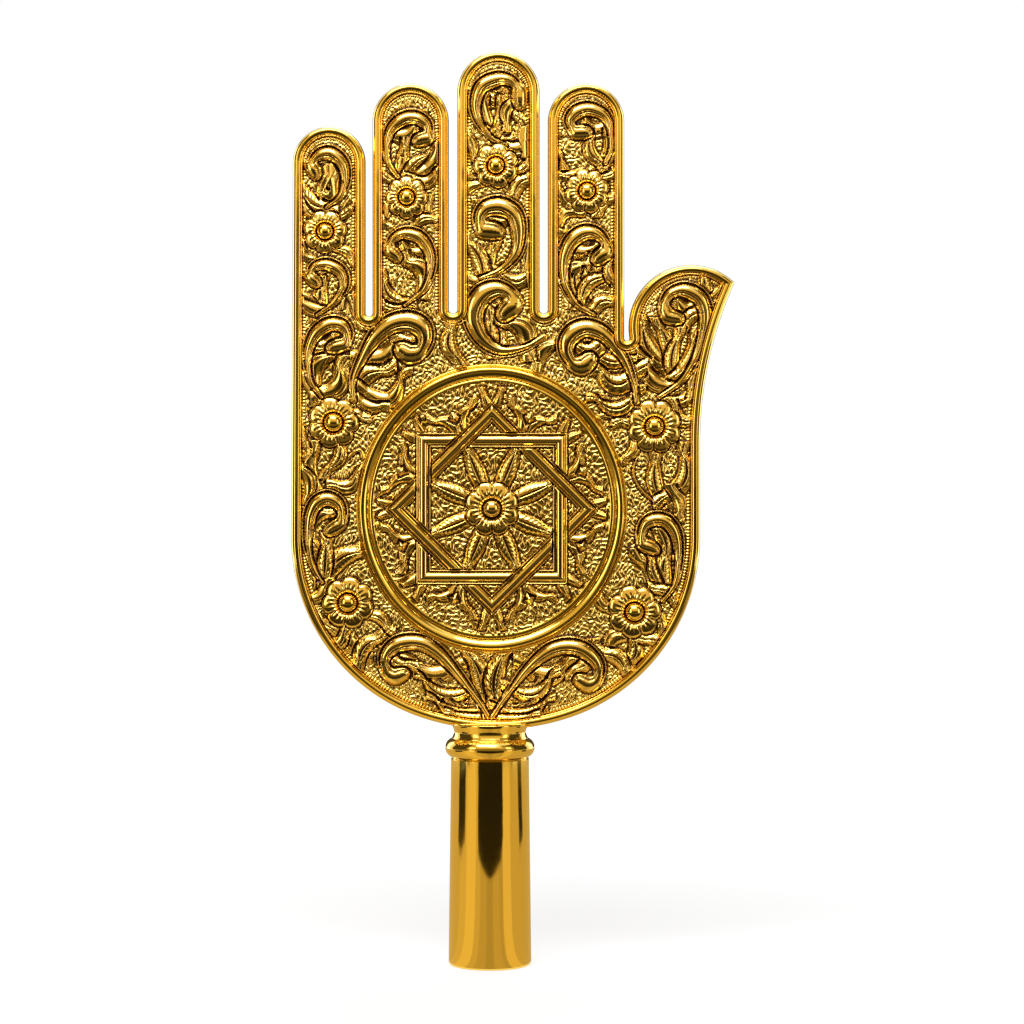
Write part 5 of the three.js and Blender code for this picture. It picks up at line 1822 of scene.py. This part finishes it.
class FINIAL_OT_stage(bpy.types.Operator):
    """Floor, lamps, flags, world and camera"""

    bl_idname = "finial.stage"
    bl_label = "Studio"

    def execute(self, context):
        scene = context.scene
        scene.view_settings.view_transform = "Standard"
        near, far = FLOOR_FRONT, FLOOR_REACH
        corners = [(-far, near, 0), (far, near, 0), (far, far, 0), (-far, far, 0)]
        stage_sheet("floor", corners, [(0, 1, 2, 3)], shared(studio_paper))
        hidden = []
        for name, (height, radiance, corners) in CARDS.items():
            hidden.append(card(name, [(*corner, height) for corner in corners], radiance))
        for start, end, radiance in SECTORS:
            turns = np.radians(np.linspace(start, end, FLAG_STEPS))
            corners = [
                (radius * math.sin(turn), -radius * math.cos(turn), CARD_HEIGHT)
                for radius, way in zip(SECTOR_REACH, (turns, turns[::-1])) for turn in way
            ]
            hidden.append(card("sector", corners, radiance))
        for name, place in FLAGS.items():
            hidden.append(flag(name, *place))
        for sheet in hidden:
            sheet.visible_camera = False
            sheet.visible_diffuse = False
            sheet.visible_shadow = False
        for name, place in SOFT_BOXES.items():
            soft_box(name, *place)

        world = bpy.data.worlds.new("studio")
        world.use_nodes = True
        tree = world.node_tree
        tree.nodes.clear()
        glow = add_node(
            tree,
            "ShaderNodeMapRange",
            links={"Value": seen_directly_or_in_metal(tree)},
            inputs={"To Min": BACKDROP_LIGHT, "To Max": BACKDROP_GLOW},
        )
        light = add_node(
            tree,
            "ShaderNodeBackground",
            inputs={"Color": (*colours().studio, 1)},
            links={"Strength": glow.outputs["Result"]},
        )
        add_node(tree, "ShaderNodeOutputWorld", links={"Surface": light.outputs["Background"]})
        scene.world = world

        view = bpy.data.cameras.new("camera")
        view.sensor_width = SENSOR_WIDTH
        view.lens = view.sensor_width * CAMERA_DISTANCE / FRAME_WIDTH
        view.clip_start = CAMERA_NEAREST
        camera = bpy.data.objects.new("camera", view)
        camera.location = Vector((CAMERA_X, -CAMERA_DISTANCE, CAMERA_Z)) * MM
        camera.rotation_euler = (math.pi / 2, 0, 0)
        scene.collection.objects.link(camera)
        scene.camera = camera
        return {"FINISHED"}


OPERATORS = (
    FINIAL_OT_sheets,
    FINIAL_OT_medallions,
    FINIAL_OT_rings,
    FINIAL_OT_rim,
    FINIAL_OT_neck,
    FINIAL_OT_socket,
    FINIAL_OT_rivets,
    FINIAL_OT_core,
    FINIAL_OT_stage,
)


class FINIAL_PT_panel(bpy.types.Panel):
    """Lists the pieces of the finial in the sidebar"""

    bl_idname = "FINIAL_PT_panel"
    bl_label = "Hand-Shaped Finial"
    bl_space_type = "VIEW_3D"
    bl_region_type = "UI"
    bl_category = "Finial"

    def draw(self, context):
        layout = self.layout
        for group in (context.scene.finial_sizes, context.scene.finial_colours):
            for name in group.__annotations__:
                layout.prop(group, name)
        for operator in OPERATORS:
            layout.operator(operator.bl_idname)


CLASSES = (FinialSizes, FinialColours, *OPERATORS, FINIAL_PT_panel)


def register():
    for item in CLASSES:
        bpy.utils.register_class(item)
    bpy.types.Scene.finial_sizes = PointerProperty(type=FinialSizes)
    bpy.types.Scene.finial_colours = PointerProperty(type=FinialColours)


def unregister():
    del bpy.types.Scene.finial_colours
    del bpy.types.Scene.finial_sizes
    for item in reversed(CLASSES):
        bpy.utils.unregister_class(item)


def main():
    register()
    for operator in OPERATORS:
        group, name = operator.bl_idname.split(".")
        getattr(getattr(bpy.ops, group), name)()


if __name__ == "__main__":
    main()
